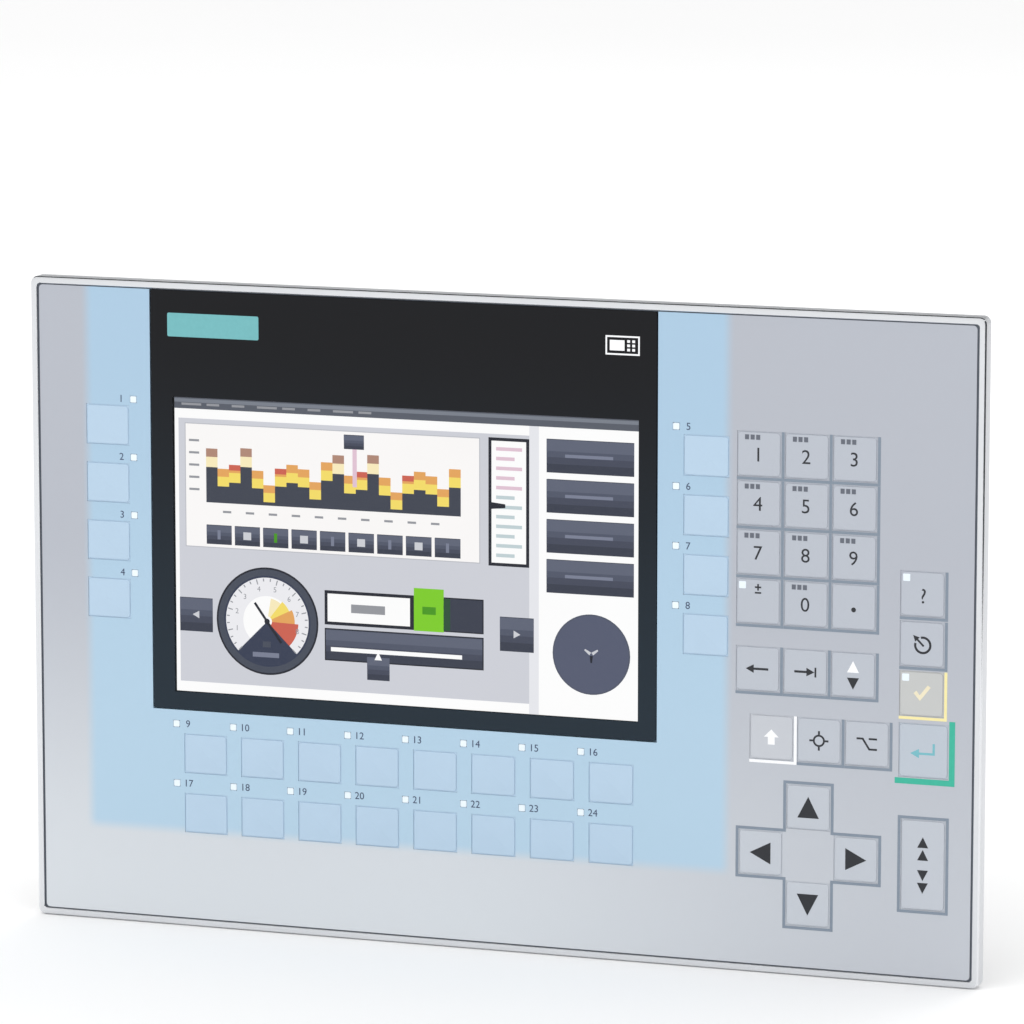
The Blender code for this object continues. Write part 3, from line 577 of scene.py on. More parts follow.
class Picture:
    """Flat lit shapes in layers on the display glass.

    Places are millimetres right of and below the picture's upper left corner.
    """

    WIDTH = 152.4
    HEIGHT = 93.2
    RISE = 0.4  # height of the picture's middle over the glass's middle
    GAP = 0.02  # between the glass and the lowest layer
    LAYER = 0.035

    def __init__(self, glass):
        self.left = glass.centre.x - self.WIDTH / 2
        self.top = glass.centre.z + self.RISE + self.HEIGHT / 2
        self.x = (self.left, self.left + self.WIDTH)
        self.z = (self.top - self.HEIGHT, self.top)
        self.surface = glass.y[0]
        self.skins = {}

    def back(self, layer):
        return self.surface - self.GAP - layer * self.LAYER

    def add(self, colour, skin):
        self.skins.setdefault(colour, []).append(skin)

    def shape(self, colour, layer, outline):
        """An outline whose second value counts downward from the picture's top."""
        points = [(self.left + u, self.top - v) for u, v in outline]
        self.add(colour, plate(points, (self.back(layer), self.back(layer + 1))))

    def rect(self, colour, layer, u, v, size_u, size_v):
        self.shape(colour, layer, rectangle((u, u + size_u), (v, v + size_v)))

    def button(self, layer, u, v, size_u, size_v):
        """A dark button that gets lighter towards its top. It takes up four layers."""
        self.rect("dark", layer, u, v, size_u, size_v)
        for band, share in enumerate((0.72, 0.52, 0.34)):
            self.rect(f"dark_band_{band}", layer + 1 + band, u, v + 0.2, size_u, share * size_v)

    def figure(self, colour, layer, text, height, place):
        centre = (self.left + place[0], self.top - place[1])
        self.add(colour, lettering(text, height, centre, self.back(layer), self.LAYER, 0.0))

    def build(self):
        for name, skins in self.skins.items():
            piece(f"picture_{name}", skins, glow_finish(f"picture_{name}", PICTURE_COLOURS[name]))


PICTURE_COLOURS = {
    "page": (255, 255, 255),
    "header": (88, 93, 104),
    "header_light": (122, 128, 139),
    "card": (252, 250, 249),
    "line": (188, 190, 197),
    "panel": (207, 209, 217),
    "margin": (232, 233, 238),
    "face": (238, 238, 242),
    "dark": (56, 61, 76),
    "dark_band_0": (68, 73, 90),
    "dark_band_1": (80, 86, 104),
    "dark_band_2": (94, 100, 118),
    "frame": (32, 35, 46),
    "bar": (62, 67, 80),
    "knob": (84, 90, 112),
    "wedge": (52, 60, 82),
    "ring": (70, 76, 90),
    "yellow": (246, 222, 104),
    "cream": (250, 236, 190),
    "orange": (230, 166, 92),
    "brown": (176, 136, 118),
    "red": (206, 98, 80),
    "pink": (226, 196, 212),
    "teal": (194, 210, 214),
    "green": (126, 206, 34),
    "green_dark": (70, 152, 20),
    "green_shade": (40, 78, 52),
    "glyph": (206, 208, 214),
    "dim": (122, 128, 148),
    "tick": (150, 152, 158),
}
BAR_LEVELS = (17.0, 10.8, 12.2, 17.6, 10.8, 6.4, 11.8, 13.2, 12.0, 8.2, 14.6)  # shown twice


def draw_bar(picture, u, width, base, place):
    """A bar in three colours: dark, then yellow, and orange or brown on top."""
    level = BAR_LEVELS[place]
    dark = 0.95 * level - 5.0
    middle = 0.55 * (level - dark)
    top = level - dark - middle
    high = level > 15
    picture.rect("bar", 4, u, base - dark, width, dark)
    picture.rect("cream" if high else "yellow", 4, u, base - dark - middle, width, middle)
    picture.rect("brown" if high else "orange", 4, u, base - level, width, top)
    if place in (2, 6):
        picture.rect("red", 5, u, base - level, width, 0.7 * top)


def draw_chart(picture):
    """Bar chart on its card, with a cursor, axis ticks and a row of small buttons."""
    picture.rect("line", 2, 3.4, 8.1, 97.5, 39.1)
    picture.rect("card", 3, 3.7, 8.4, 96.9, 38.5)
    first = 10.5
    count = 2 * len(BAR_LEVELS)
    step = 84.1 / count
    for column in range(count):
        draw_bar(picture, first + step * column, step, 32.9, column % len(BAR_LEVELS))
    for tick in range(5):
        picture.rect("tick", 4, 4.8, 13.2 + 3.85 * tick, 3.4, 0.7)
    for mark in range(10):
        picture.rect("tick", 4, 16.0 + 7.65 * mark, 35.3, 2.8, 0.7)
    picture.rect("pink", 6, 59.2, 13.6, 1.4, 12.0)
    picture.button(7, 56.4, 9.3, 6.6, 4.5)
    for button in range(9):
        u = first + 9.45 * button
        picture.button(4, u, 39.9, 8.4, 6.1)
        if button % 2:
            picture.rect("glyph", 8, u + 2.9, 41.7, 2.6, 2.4)
        else:
            picture.rect("green_dark" if button == 2 else "dim", 8, u + 3.7, 41.5, 1.0, 2.9)


def draw_level(picture):
    """Upright level scale with its pointer."""
    picture.rect("frame", 2, 103.6, 7.8, 13.2, 39.8)
    picture.rect("page", 3, 104.6, 8.8, 11.2, 37.8)
    for tick in range(12):
        colour = "pink" if tick < 5 else "teal"
        picture.rect(colour, 4, 106.1, 10.7 + 3.0 * tick, 6.0 if tick % 2 else 8.4, 1.1)
    picture.shape("frame", 5, [(104.1, 27.8), (109.1, 28.3), (109.1, 29.5), (104.1, 30.0)])


def draw_side_buttons(picture):
    """Strip of four wide buttons over a round knob, on the right."""
    for button in range(4):
        v = 7.3 + 12.4 * button
        picture.button(2, 122.4, v, 28.1, 10.4)
        picture.rect("dim", 6, 128.4, v + 4.6, 15.4, 1.0)
    centre = (136.9, 73.4)
    picture.shape("dark_band_1", 2, disc(12.5, centre, 48))
    picture.shape("knob", 3, disc(12.0, centre, 48))
    blade = [(-0.5, 0.4), (0.5, 0.4), (0.25, 2.6), (-0.25, 2.6)]
    for turn, colour in ((125, "glyph"), (235, "glyph"), (0, "frame")):
        picture.shape(colour, 4, moved(blade, centre, 1.0, turn))


def draw_dial(picture):
    """Round dial with figures, a coloured sector and a needle."""
    centre = (30.6, 69.4)
    start, end = -225, 45
    for layer, (colour, radius) in enumerate((("frame", 17.0), ("ring", 16.4), ("wedge", 14.4))):
        picture.shape(colour, 2 + layer, disc(radius, centre, 56))
    picture.shape("face", 5, sector(0.4, 13.8, start, end, centre, 40))
    picture.shape("page", 6, sector(0.5, 8.0, start, end, centre, 40))
    picture.shape("cream", 7, sector(1.6, 7.4, -80, -52, centre, 8))
    picture.shape("yellow", 7, sector(1.6, 8.2, -52, -26, centre, 8))
    picture.shape("orange", 7, sector(1.6, 9.2, -26, 2, centre, 8))
    picture.shape("red", 7, sector(1.6, 10.4, 2, end, centre, 10))
    for tick in range(28):
        turn = start + (end - start) * tick / 27
        inner = 12.6 if tick % 3 else 11.9
        picture.shape("tick", 7, sector(inner, 13.5, turn - 0.8, turn + 0.8, centre, 2))
        if tick % 3 == 0 and 0 < tick < 27:
            picture.figure("tick", 8, str(tick // 3), 1.7, arc(10.4, turn, turn, centre, 1)[0])
    tip = (centre[0] - 4.1, centre[1] - 5.7)
    tail = (centre[0] + 4.7, centre[1] + 6.6)
    picture.shape("frame", 9, stroke(tip, tail, 0.8))
    picture.shape("frame", 10, disc(0.9, centre, 20))
    picture.rect("dim", 7, centre[0] - 4.9, centre[1] + 9.9, 8.8, 1.5)
    picture.rect("ring", 7, centre[0] - 1.5, centre[1] + 6.4, 2.6, 1.8)


def draw_controls(picture):
    """Stepping buttons, value field with its switch, and a slider."""
    arrow = [(-1.0, -1.2), (1.2, 0.0), (-1.0, 1.2)]
    for u, side in ((1.3, -1), (107.3, 1)):
        picture.button(2, u, 63.3, 11.0, 10.7)
        picture.shape("glyph", 6, [(u + 5.5 + side * a, 68.6 + b) for a, b in arrow])
    picture.rect("frame", 2, 49.7, 58.4, 52.3, 10.8)
    picture.rect("page", 3, 50.7, 59.4, 27.2, 8.8)
    picture.rect("dark", 3, 88.9, 58.8, 12.7, 10.0)
    picture.rect("green_shade", 4, 88.9, 58.8, 2.2, 10.0)
    picture.rect("green", 4, 79.2, 56.0, 9.8, 13.4)
    picture.rect("green_dark", 5, 82.0, 61.7, 4.4, 2.4)
    picture.rect("tick", 4, 58.5, 62.4, 11.2, 2.7)
    picture.rect("frame", 2, 49.7, 70.3, 52.3, 10.2)
    picture.button(3, 50.1, 70.6, 51.5, 9.5)
    picture.rect("page", 7, 51.8, 76.2, 43.2, 1.3)
    picture.button(8, 63.8, 78.4, 7.4, 7.4)
    picture.shape("page", 12, [(66.3, 79.4), (68.7, 79.4), (67.5, 76.8)])


def draw_picture(picture):
    """A page with a header, a chart, a scale, buttons, a dial and a value field."""
    header = 3.7
    picture.rect("page", 0, 0.0, 0.0, picture.WIDTH, picture.HEIGHT)
    picture.rect("header", 1, 0.0, 0.0, picture.WIDTH, header)
    picture.rect("header_light", 2, 0.0, 0.6, picture.WIDTH, 1.1)
    for word in range(8):
        picture.rect("tick", 3, 2.4 + 8.4 * word, 1.9, 4.2 if word % 3 else 6.6, 0.7)
    picture.rect("panel", 1, 1.3, 6.7, 115.5, 83.3)
    picture.rect("margin", 1, 116.8, header, 3.1, picture.HEIGHT - header)
    draw_chart(picture)
    draw_level(picture)
    draw_side_buttons(picture)
    draw_dial(picture)
    draw_controls(picture)
    picture.build()


# ---- keys

FLANGE_LIP = 1.2  # how much wider the flange is than the cap, over both sides
SKIRT = 0.54  # how much wider the skirt in the foil's opening is than the cap
SKIRT_FRONT = Box("key_foil").y[0] + 0.18  # just behind the foil's face
KEY_EDGE = 0.3
NUB = 4.0  # width and height of the nub behind a cap


def raised(size, root, face, radius=0.7, edge=KEY_EDGE):
    """Rows of a key with a rounded edge, and with a skirt that fills the foil's opening."""
    rows = straight(grown(size, SKIRT), 0.3, root, SKIRT_FRONT) + [(SKIRT_FRONT, size, radius)]
    return rows + curl(size, radius + edge, face, edge, 1, 4)[::-1]


def cap_skin(box, crown=0.06):
    """A key cap with a slightly crowned face, on its flange and nub."""
    front, back = box.y
    size = grown(box.size, -FLANGE_LIP)
    flange = (back - 0.35, back - 0.95)
    rows = straight((NUB, NUB), 0.5, back, flange[0]) + straight(box.size, 0.6, *flange)
    rows += raised(size, flange[1], front + crown)
    for share in (0.25, 0.5, 0.75, 0.92):
        shrink = 2 * KEY_EDGE + share * (min(size) - 2 * KEY_EDGE)
        depth = front + crown * (1 - share) ** 2
        rows.append((depth, grown(size, -shrink), max(0.25, 0.9 * (1 - share))))
    return stack(rows, box.at, 5)


def rocker_skins(box):
    """The page key: a long cap, with its pivot ears and two nubs behind it."""
    x, z = box.at
    front, back = box.y
    root = back - 0.55
    cap = stack(raised((box.width - FLANGE_LIP, box.height), root, front), box.at, 5)
    ears = block(around(x, box.width), (root - 0.55, root - 0.1), around(z, NUB))
    nubs = [block(around(x, NUB), (root - 0.2, back), around(nub, NUB)) for nub in around(z, 17.0)]
    return [cap, ears] + nubs


TRIANGLE = [(-3.4, -3.2), (3.4, -3.2), (0.0, 3.4)]
ARROW_HEAD = [(-1.1, -1.0), (1.1, -1.0), (0.0, 1.1)]
CHECK = [(-2.4, 0.2), (-1.5, 1.0), (-0.5, -0.4), (2.0, 2.8), (2.9, 2.1), (-0.4, -2.1)]
SHIFT_ARROW = [(0, 2.8), (-2.6, 0.2), (-1.2, 0.2), (-1.2, -2.4), (1.2, -2.4), (1.2, 0.2), (2.6, 0.2)]
STEP = [(-3.2, 1.3), (-1.45, 1.3), (0.62, -1.9), (3.2, -1.9)]
STEP += [(3.2, -1.3), (0.95, -1.3), (-1.1, 1.9), (-3.2, 1.9)]
HOOK = [(-1.3, -1.15), (3.6, -1.15), (3.6, 2.4), (2.9, 2.4), (2.9, -0.45), (-1.3, -0.45)]
TARGET = [sector(1.3, 1.9, start, start + 180, steps=12) for start in (0, 180)]
TARGET += [moved(rectangle((1.9, 3.0), (-0.3, 0.3)), turn=turn) for turn in (0, 90, 180, 270)]

LEGENDS = {  # outlines of the sign on a key, from the key's middle
    "key_backspace": [moved(ARROW_HEAD, (-2.4, 0), 1.2, 90), rectangle((-1.2, 3.4), (-0.35, 0.35))],
    "key_tab": [
        moved(ARROW_HEAD, (1.6, 0), 1.2, -90),
        rectangle((-3.4, 0.4), (-0.35, 0.35)),
        rectangle((2.95, 3.5), (-1.5, 1.5)),
    ],
    "key_shift": [moved(SHIFT_ARROW, scale=0.9)],
    "key_control": TARGET,
    "key_alternate": [STEP, rectangle((0.6, 3.2), (1.3, 1.9))],
    "key_escape": [
        sector(2.0, 2.7, 165, 465, (0.3, -0.3), 28),
        stroke((0.6, -0.6), (-1.36, 1.36), 0.6),
        moved(ARROW_HEAD, (-2.0, 2.0), 0.9, 45),
    ],
    "key_acknowledge": [CHECK],
    "key_enter": [moved(ARROW_HEAD, (-2.6, -0.8), 1.3, 90), HOOK],
    "key_sign": [moved(plus(1.0, 0.5), (0.0, 4.35)), rectangle((-1.0, 1.0), (2.4, 2.9))],
    "key_point": [disc(0.75, (0.0, -0.8), 16)],
    "key_insert_delete": [moved(ARROW_HEAD, (0.0, -2.6), 1.7, 180)],
    "key_up": [TRIANGLE],
    "key_left": [moved(TRIANGLE, turn=90)],
    "key_down": [moved(TRIANGLE, turn=180)],
    "key_right": [moved(TRIANGLE, turn=270)],
}


def build_key(name, caps, inks):
    """A key's cap and its legend, with small marks on the figure keys and a lamp on some."""
    box = Box(name)
    x, z = box.at
    surface = box.y[0] + 0.02
    cap, slot = caps.get(name, caps["others"])
    piece(f"cap_{name}", [cap_skin(box)], cap, name, name)
    if name in LEGENDS:
        legend = printed([moved(outline, box.at) for outline in LEGENDS[name]], surface)
    elif name == "key_help":
        legend = [lettering("?", 4.6, (x + 0.3, z - 0.8), surface)]
    else:
        legend = [lettering(name[-1], 4.4, (x - 0.2, z - 0.4), surface)]
        marks = [rectangle((x + u, x + u + 1.25), around(z + 5.1, 1.5)) for u in (-4.4, -2.65, -0.9)]
        piece(f"marks_{name}", printed(marks, surface), inks["soft"], name)
    piece(f"legend_{name}", legend, inks.get(name, inks["dark"]), name)
    if name == "key_insert_delete":
        insert = printed([moved(ARROW_HEAD, (x, z + 2.4), 1.7)], surface)
        piece("legend_insert", insert, inks["white"], name)
    if name in ("key_sign", "key_help", "key_acknowledge"):
        lamp = rounded((2.2, 2.2), 0.25, (x - 4.9, z + 4.9), 3)
        piece(f"lamp_{name}", printed([lamp], surface), inks["lamp"], name)


def build_page_key(caps, inks):
    box = Box("page_key")
    x, z = box.at
    cap, slot = caps["others"]
    piece("cap_page_key", rocker_skins(box), cap, "page_key", "page_key")
    heads = []
    for side, turn in ((1, 0), (-1, 180)):
        heads += [moved(TRIANGLE, (x, z + side * offset), 0.5, turn) for offset in (3.1, 7.0)]
    piece("legend_page_key", printed(heads, box.y[0]), inks["dark"], "page_key")


# ---- print on the foil

LINE = 0.9
OPEN_SIDES = {"key_up": (0, -1), "key_down": (0, 1), "key_left": (1, 0), "key_right": (-1, 0)}


def corner_line(centre, reach, width=LINE, gap=0.5):
    """An L-shaped line along the right and the lower side of a key."""
    right = centre[0] + reach[0]
    low = centre[1] - reach[1]
    upright = rectangle(around(right, width), (low + width / 2, centre[1] + reach[1] - gap))
    flat = rectangle((centre[0] - reach[0] + gap, right + width / 2), around(low, width))
    return [upright, flat]


def build_key_lines(keys, surface, inks):
    """Lines that set the keys apart: corners by most keys, boxes round the arrows."""
    page = Box("page_key")
    grey = box_lines(page.at, (page.width / 2 + 0.3, page.height / 2 + 0.9), LINE)
    for name in keys:
        box = Box(name)
        reach = (box.width / 2 + 0.3, box.height / 2 + 0.3)
        if name in OPEN_SIDES:
            grey += box_lines(box.at, reach, LINE, OPEN_SIDES[name])
        elif name == "key_enter":
            green = corner_line(box.at, grown(reach, 0.55), 2 * LINE, 0.0)
            piece("line_enter", printed(green, surface), inks["green"])
        elif name in ("key_shift", "key_acknowledge"):
            ink = inks["white" if name == "key_shift" else "yellow"]
            piece(name.replace("key", "line"), printed(corner_line(box.at, reach), surface), ink)
        else:
            grey += corner_line(box.at, reach)
    piece("key_lines", printed(grey, surface), inks["line"])


FUNCTION_KEYS = {  # the number of each row's first key, and the place of the lamps by the keys
    "left": (1, (8.7, 8.3)),
    "right": (5, (-9.6, 8.6)),
    "upper": (9, (-9.8, 9.3)),
    "lower": (17, (-9.8, 9.3)),
}
PAD = (13.8, 12.0)
WEB_MARGIN = 0.3  # how far a strip's web reaches past its outer pads


def pad_places(box):
    """Centres of a strip's window pads, from its left or from its top."""
    x, z = box.at
    if box.height > box.width:
        reach = box.height / 2 - WEB_MARGIN - PAD[1] / 2
        return [(x, z + reach * (1 - 2 * row / 3)) for row in range(4)]
    reach = box.width / 2 - WEB_MARGIN - PAD[0] / 2
    return [(x - reach * (1 - 2 * column / 7), z) for column in range(8)]


def build_pads(material):
    """One strip of rounded window pads for each row, on its web with two guide ribs."""
    for side in FUNCTION_KEYS:
        node = f"function_keys_{side}"
        box = Box(node)
        x, z = box.at
        front, back = box.y
        web = (back - 1.2, back - 0.6)
        skins = [plate(rounded(box.size, 0.8, box.at, 3), web)]
        for across in around(0.0, min(box.size) - 0.9):
            rib, at = (0.7, box.height - 1.8), (x + across, z)
            if box.width > box.height:
                rib, at = (box.width - 1.8, 0.7), (x, z + across)
            skins.append(plate(rounded(rib, 0.2, at, 2), (web[1] - 0.1, back)))
        for centre in pad_places(box):
            skins.append(stack(raised(PAD, web[0] + 0.1, front, 0.6, 0.25), centre, 4))
        piece(f"pads_{side}", skins, material, node, node)


def build_function_key_print(surface, inks):
    """A lamp window and a number by each function key."""
    lamps = []
    numbers = []
    for side, (first, (right, up)) in FUNCTION_KEYS.items():
        for place, (x, z) in enumerate(pad_places(Box(f"function_keys_{side}"))):
            lamp = (x + right, z + up)
            lamps.append(plate(rounded((2.0, 2.0), 0.3, lamp, 3), (surface + 1.2, surface - 0.02)))
            beside = (lamp[0] + (-4.1 if side == "left" else 3.9), lamp[1])
            numbers.append(lettering(str(first + place), 2.3, beside, surface))
    piece("function_lamps", lamps, inks["lamp"])
    piece("function_numbers", numbers, inks["navy"])


def build_lens_print(window, surface, inks):
    """A blank badge and a small sign of a panel, in the lens border's upper corners."""
    height = window.z[1] - 10.8
    badge = rounded((30.4, 7.4), 0.5, (window.x[0] + 20.9, height), 4)
    piece("blank_badge", printed([badge], surface), inks["badge"])
    sign = box_lines((0.0, 0.0), (5.2, 2.7), 0.5)
    sign.append(rectangle((-4.1, 0.6), (-1.6, 1.6)))
    for u in (1.9, 3.5):
        sign += [rectangle(around(u, 0.9), around(v, 0.8)) for v in (-1.3, 0.0, 1.3)]
    outlines = [moved(outline, (window.x[1] - 11.0, height)) for outline in sign]
    piece("panel_sign", printed(outlines, surface), inks["white"])


# ---- bezel

def build_bezel(material):
    """Milled aluminium bezel: polished outer edge, pocket, gasket groove and plug wall."""
    bezel, foil, display = Box("front_frame"), Box("key_foil"), Box("lcd_module")
    cover, gasket = Box("rear_cover"), Box("panel_gasket")
    front = bezel.y[0]
    groove = grown(gasket.size, 0.6)
    island = grown(groove, -10.0)
    groove_floor = -0.7
    plug_end = cover.y[0] - 0.3
    cavity = grown(cover.size, -5.6)
    opening = grown(display.size, -8.0)
    pocket = (foil.width + 1.4, foil.height + 0.8)
    pocket_floor = -1.65
    rear = curl(bezel.size, 2.2, front, 0.8, 1)
    rear += [(-0.3, bezel.size, 2.2), (0.0, grown(bezel.size, -0.6), 2.0)]
    rear += straight(groove, 3.0, 0.0, groove_floor) + straight(island, 2.5, groove_floor, 0.0)
    rear += straight(cover.size, 2.0, 0.0, plug_end - 0.4) + [(plug_end, grown(cover.size, -0.8), 1.8)]
    rear += straight(cavity, 1.0, plug_end, 0.0)
    window = straight(opening, 1.0, 0.0, pocket_floor)
    face = straight(pocket, 1.0, pocket_floor, front + 0.15) + [(front, grown(pocket, 0.3), 1.1)]
    ring = rectangles(rear, segments=8) + rectangles(window, display.at, 8) + rectangles(face, segments=8)
    skins = [loft(ring, ring=True)]
    for _, screw in at_corners("cover_screw"):
        skins.append(plate(disc(4.0, screw.at, 32), (-0.4, cover.y[0] + 10.1)))
    piece("bezel", skins, material, HOUSING, "front_frame")


def build_foil_edge(material):
    """Dark bead between the foil and the bezel's rim, whose dark colour is painted shade for the shadow
    in that gap.
    """
    foil = Box("key_foil")
    front = foil.y[0] + 0.25
    back = front + 1.6
    inner = grown(foil.size, 0.04)
    outer = (foil.width + 1.36, foil.height + 0.76)
    rows = straight(outer, 1.0, front, back) + straight(inner, 1.2, back, front)
    piece("foil_edge", [stack(rows, ring=True)], material)


# ---- rear cover

CARD_PITCH = 28.0  # between the middles of the two card slots


class Cover:
    """The rear cover: a tray with a step, and a deep box that runs from the step to the end."""

    def __init__(self):
        tray = Box("rear_cover")
        self.tray = tray.size
        self.x, self.z = tray.x, tray.z
        self.front, self.end = tray.y
        self.step = self.front + 12.7
        self.left, self.right = tray.x[0] + 21.6, tray.x[1] - 57.6
        self.low, self.high = tray.z[0] + 17.6, tray.z[1] - 13.6
        self.size = (self.right - self.left, self.high - self.low)
        self.centre = ((self.left + self.right) / 2, (self.low + self.high) / 2)
        self.label = (self.centre[0] + 30.0, self.centre[1] + 24.0)
        self.recess = (96.0, 62.0)


def cover_cutters(cover):
    """Vent slots, and openings for the ports, the plug, the cards, the clips and the screws."""
    cutters = []
    vent = 3.2
    rows = ((cover.high, 9.5, 9.0), (cover.high, 23.5, 9.0), (cover.low, 28.75, 4.5))
    for wall, behind, length in rows:
        for place in range(16):
            at = (cover.centre[0] + 11.0 * (place - 7.5), cover.step + behind)
            slot = rounded((vent, length), vent / 2 - 0.02, at, 5)
            cutters.append(plate(slot, around(wall, 6.0), "under"))
    below = (cover.low - 2.0, cover.low + 4.0)
    for node in ("network_jacks", "serial_port", "usb_ports"):
        port = Box(node)
        back = min(port.y[1], port.y[0] + 13.6) + 0.5
        cutters.append(block(around(port.centre.x, port.width + 1.0), (cover.step + 9.5, back), below))
    plug = Box("power_plug").centre
    cutters.append(block(around(plug.x, 15.0), around(plug.y, 12.4), below))
    lock = Box("card_lock").centre
    beside = (cover.right - 4.0, cover.right + 2.0)
    for z in around(lock.z, CARD_PITCH):
        cutters.append(block(beside, around(lock.y, 3.2), around(z, 26.0)))
    hook = (cover.front + 3.7, cover.front + 6.7)
    for _, clip in at_corners("mounting_clip"):
        edge = math.copysign(cover.tray[1] / 2 - 1.0, clip.centre.z)
        cutters.append(block(around(clip.centre.x, 14.0), hook, around(edge, 5.0)))
    for _, screw in at_corners("cover_screw"):
        cutters.append(plate(disc(1.8, screw.at, 32), (cover.step - 4.0, cover.step + 2.0)))
    return cutters


def build_cover(cover, material):
    """Moulded rear cover with rounded edges, its openings and a label recess."""
    wall = 2.0
    step, end = cover.step, cover.end
    hollow_tray = grown(cover.tray, -2 * wall)
    hollow_box = grown(cover.size, -2 * wall)
    deep = curl(cover.size, 3.5, end, 1.8, -1) + [(step + 1.0, cover.size, 3.5)]
    deep += [(step + 0.3, grown(cover.size, 0.5), 3.7), (step, grown(cover.size, 1.6), 4.2)]
    tray = curl(cover.tray, 3.0, step, 1.4, -1) + [(cover.front, cover.tray, 3.0)]
    tray += straight(hollow_tray, 1.5, cover.front, step - wall)
    hollow = rectangles(straight(hollow_box, 2.5, step - wall, end - wall), cover.centre, 8)
    whole = rectangles(deep, cover.centre, 8) + rectangles(tray, segments=8) + hollow
    shell = piece("cover_shell", [loft(whole)], material, HOUSING, "rear_cover")
    cut(shell, cover_cutters(cover))
    cut(shell, [plate(rounded(cover.recess, 1.5, cover.label, 5), (end - 0.5, end + 2.0))])


def build_cover_ribs(cover, material):
    """Ribs on the step round the box, the card rails, rings round the screws and two seam lips."""
    step = cover.step
    base = step - 0.3
    thin = 1.4
    skins = []
    for x in (-104.0, -72.0, -18.0, 36.0, 68.0):
        near = cover.high - 0.3
        rib = [(base, cover.z[1] - 2.5), (base, near), (step + 9.0, near)]
        skins.append(plate(rib, around(x, thin), "side"))
    right = (cover.right - 0.3, 20.3, 14.0, (-56.0, -28.0, 56.0))
    left = (cover.left + 0.3, -14.3, 10.0, (-50.0, -16.0, 18.0, 52.0))
    for near, reach, rise, places in (right, left):
        rib = [(near + reach, base), (near, base), (near, step + rise)]
        skins += [plate(rib, around(z, thin), "under") for z in places]
    for x in (96.0, 112.0):
        skins.append(block(around(x, thin), (base, step + 0.9), (cover.z[0] + 18.0, cover.z[1] - 18.0)))
    lock = Box("card_lock").centre
    for y in around(lock.y, 12.2):
        rail = rounded((2.6, 1.6), 0.5, (cover.right + 1.0, y), 3)
        skins.append(plate(rail, around(lock.z, 60.0), "under"))
    ring = [(base, 5.0), (step + 0.9, 5.0), (step + 1.2, 4.7), (step + 1.2, 3.5), (base, 3.5)]
    skins += [loft(circles(ring, screw.at, 40), ring=True) for _, screw in at_corners("cover_screw")]
    piece("cover_ribs", skins, material)


# ---- fasteners and gasket

def thread(radius, depth, pitch, span, centre, sides=24):
    """Sections of a screw thread along Y between two depths."""
    rows = []
    steps = round((span[1] - span[0]) / pitch * 4)
    for step in range(steps + 1):
        y = span[0] + (span[1] - span[0]) * step / steps
        outline = []
        for side in range(sides):
            turn = (y / pitch + side / sides) % 1.0
            reach = radius - depth * abs(2 * turn - 1)
            angle = 2 * math.pi * side / sides
            outline.append((centre[0] + reach * math.cos(angle), centre[1] + reach * math.sin(angle)))
        rows.append((y, outline))
    return rows


def screw_head(centre, shoulder, end, radius, socket):
    """Sections of a round screw head with a hexagon socket."""
    rim = [(shoulder, radius - 0.15), (shoulder + 0.2, radius)]
    rim += [(depth, radius - inset) for depth, inset in edge_steps(end, 0.4, -1)[::-1]]
    hole = [(end, socket + 0.12), (end - 0.15, socket), (shoulder + 0.45 * (end - shoulder), socket)]
    return circles(rim, centre) + circles(hole, centre, outline=hexagon)


def build_screws(material):
    """Threaded clamp screws and plain cover screws."""
    for node, box in at_corners("clip_screw"):
        tip, end = box.y
        shoulder = end - 3.2
        shank = circles([(tip, 2.0), (tip + 0.3, 2.05)], box.at)
        shank += thread(2.4, 0.35, 0.8, (tip + 0.4, shoulder - 0.6), box.at)
        shank += circles([(shoulder - 0.5, 2.1), (shoulder, 2.1)], box.at)
        skin = loft(shank + screw_head(box.at, shoulder, end, box.width / 2, 1.7))
        piece(f"threaded_{node}", [skin], material, node, node)
    for node, box in at_corners("cover_screw"):
        tip, end = box.y
        shoulder = end - 2.4
        shank = circles([(tip, 1.0), (tip + 0.4, 1.4), (shoulder, 1.4)], box.at)
        skin = loft(shank + screw_head(box.at, shoulder, end, box.width / 2, 1.3))
        piece(f"finished_{node}", [skin], material, HOUSING, node)


def build_clips(material, steel):
    """Clips with rounded edges, side grooves, a hook and a steel nut for the screw."""
    for corner, (node, box) in zip(CORNERS, at_corners("mounting_clip")):
        front, back = box.y
        screw = Box(f"clip_screw_{corner}").at
        side = 1 if screw[1] > 0 else -1
        inner = screw[1] - side * 4.8
        low, high = sorted((inner, box.z[1] if side > 0 else box.z[0]))
        size = (box.width, high - low)
        rows = [(front, grown(size, -0.6), 1.2), (front + 0.3, size, 1.5)]
        rows += curl(size, 1.5, back, 1.0, -1, 5)[::-1]
        body = stack(rows, (box.centre.x, (low + high) / 2))
        cutters = [plate(disc(2.7, screw, 32), (front - 1.0, back + 1.0))]
        for x in box.x:
            for groove in range(3):
                y = around(front + 2.6 + 2.8 * groove, 1.3)
                cutters.append(block(around(x, 1.2), y, (low - 1.0, high + 1.0)))
        cut(piece(f"ribbed_{node}", [body], material, HOUSING, node), cutters)
        hooks = []
        far = 4.2  # reach of the hook past the clip, through the plug wall
        for near, start, end in ((-1.0, 3.5, 5.9), (2.8, 3.7, 8.4)):
            middle = (box.centre.x, inner - side * (far + near) / 2)
            hooks.append(plate(rounded((13.0, far - near), 0.3, middle, 3), (front + start, front + end)))
        piece(f"hook_{corner}", hooks, material)
        nut = [(back - 2.6, 4.3), (back + 0.25, 4.3), (back + 0.45, 4.1)]
        nut = circles(nut, screw, outline=hexagon)
        nut += circles([(back + 0.45, 2.72), (back - 2.6, 2.72)], screw)
        piece(f"nut_{corner}", [loft(nut, ring=True)], steel)


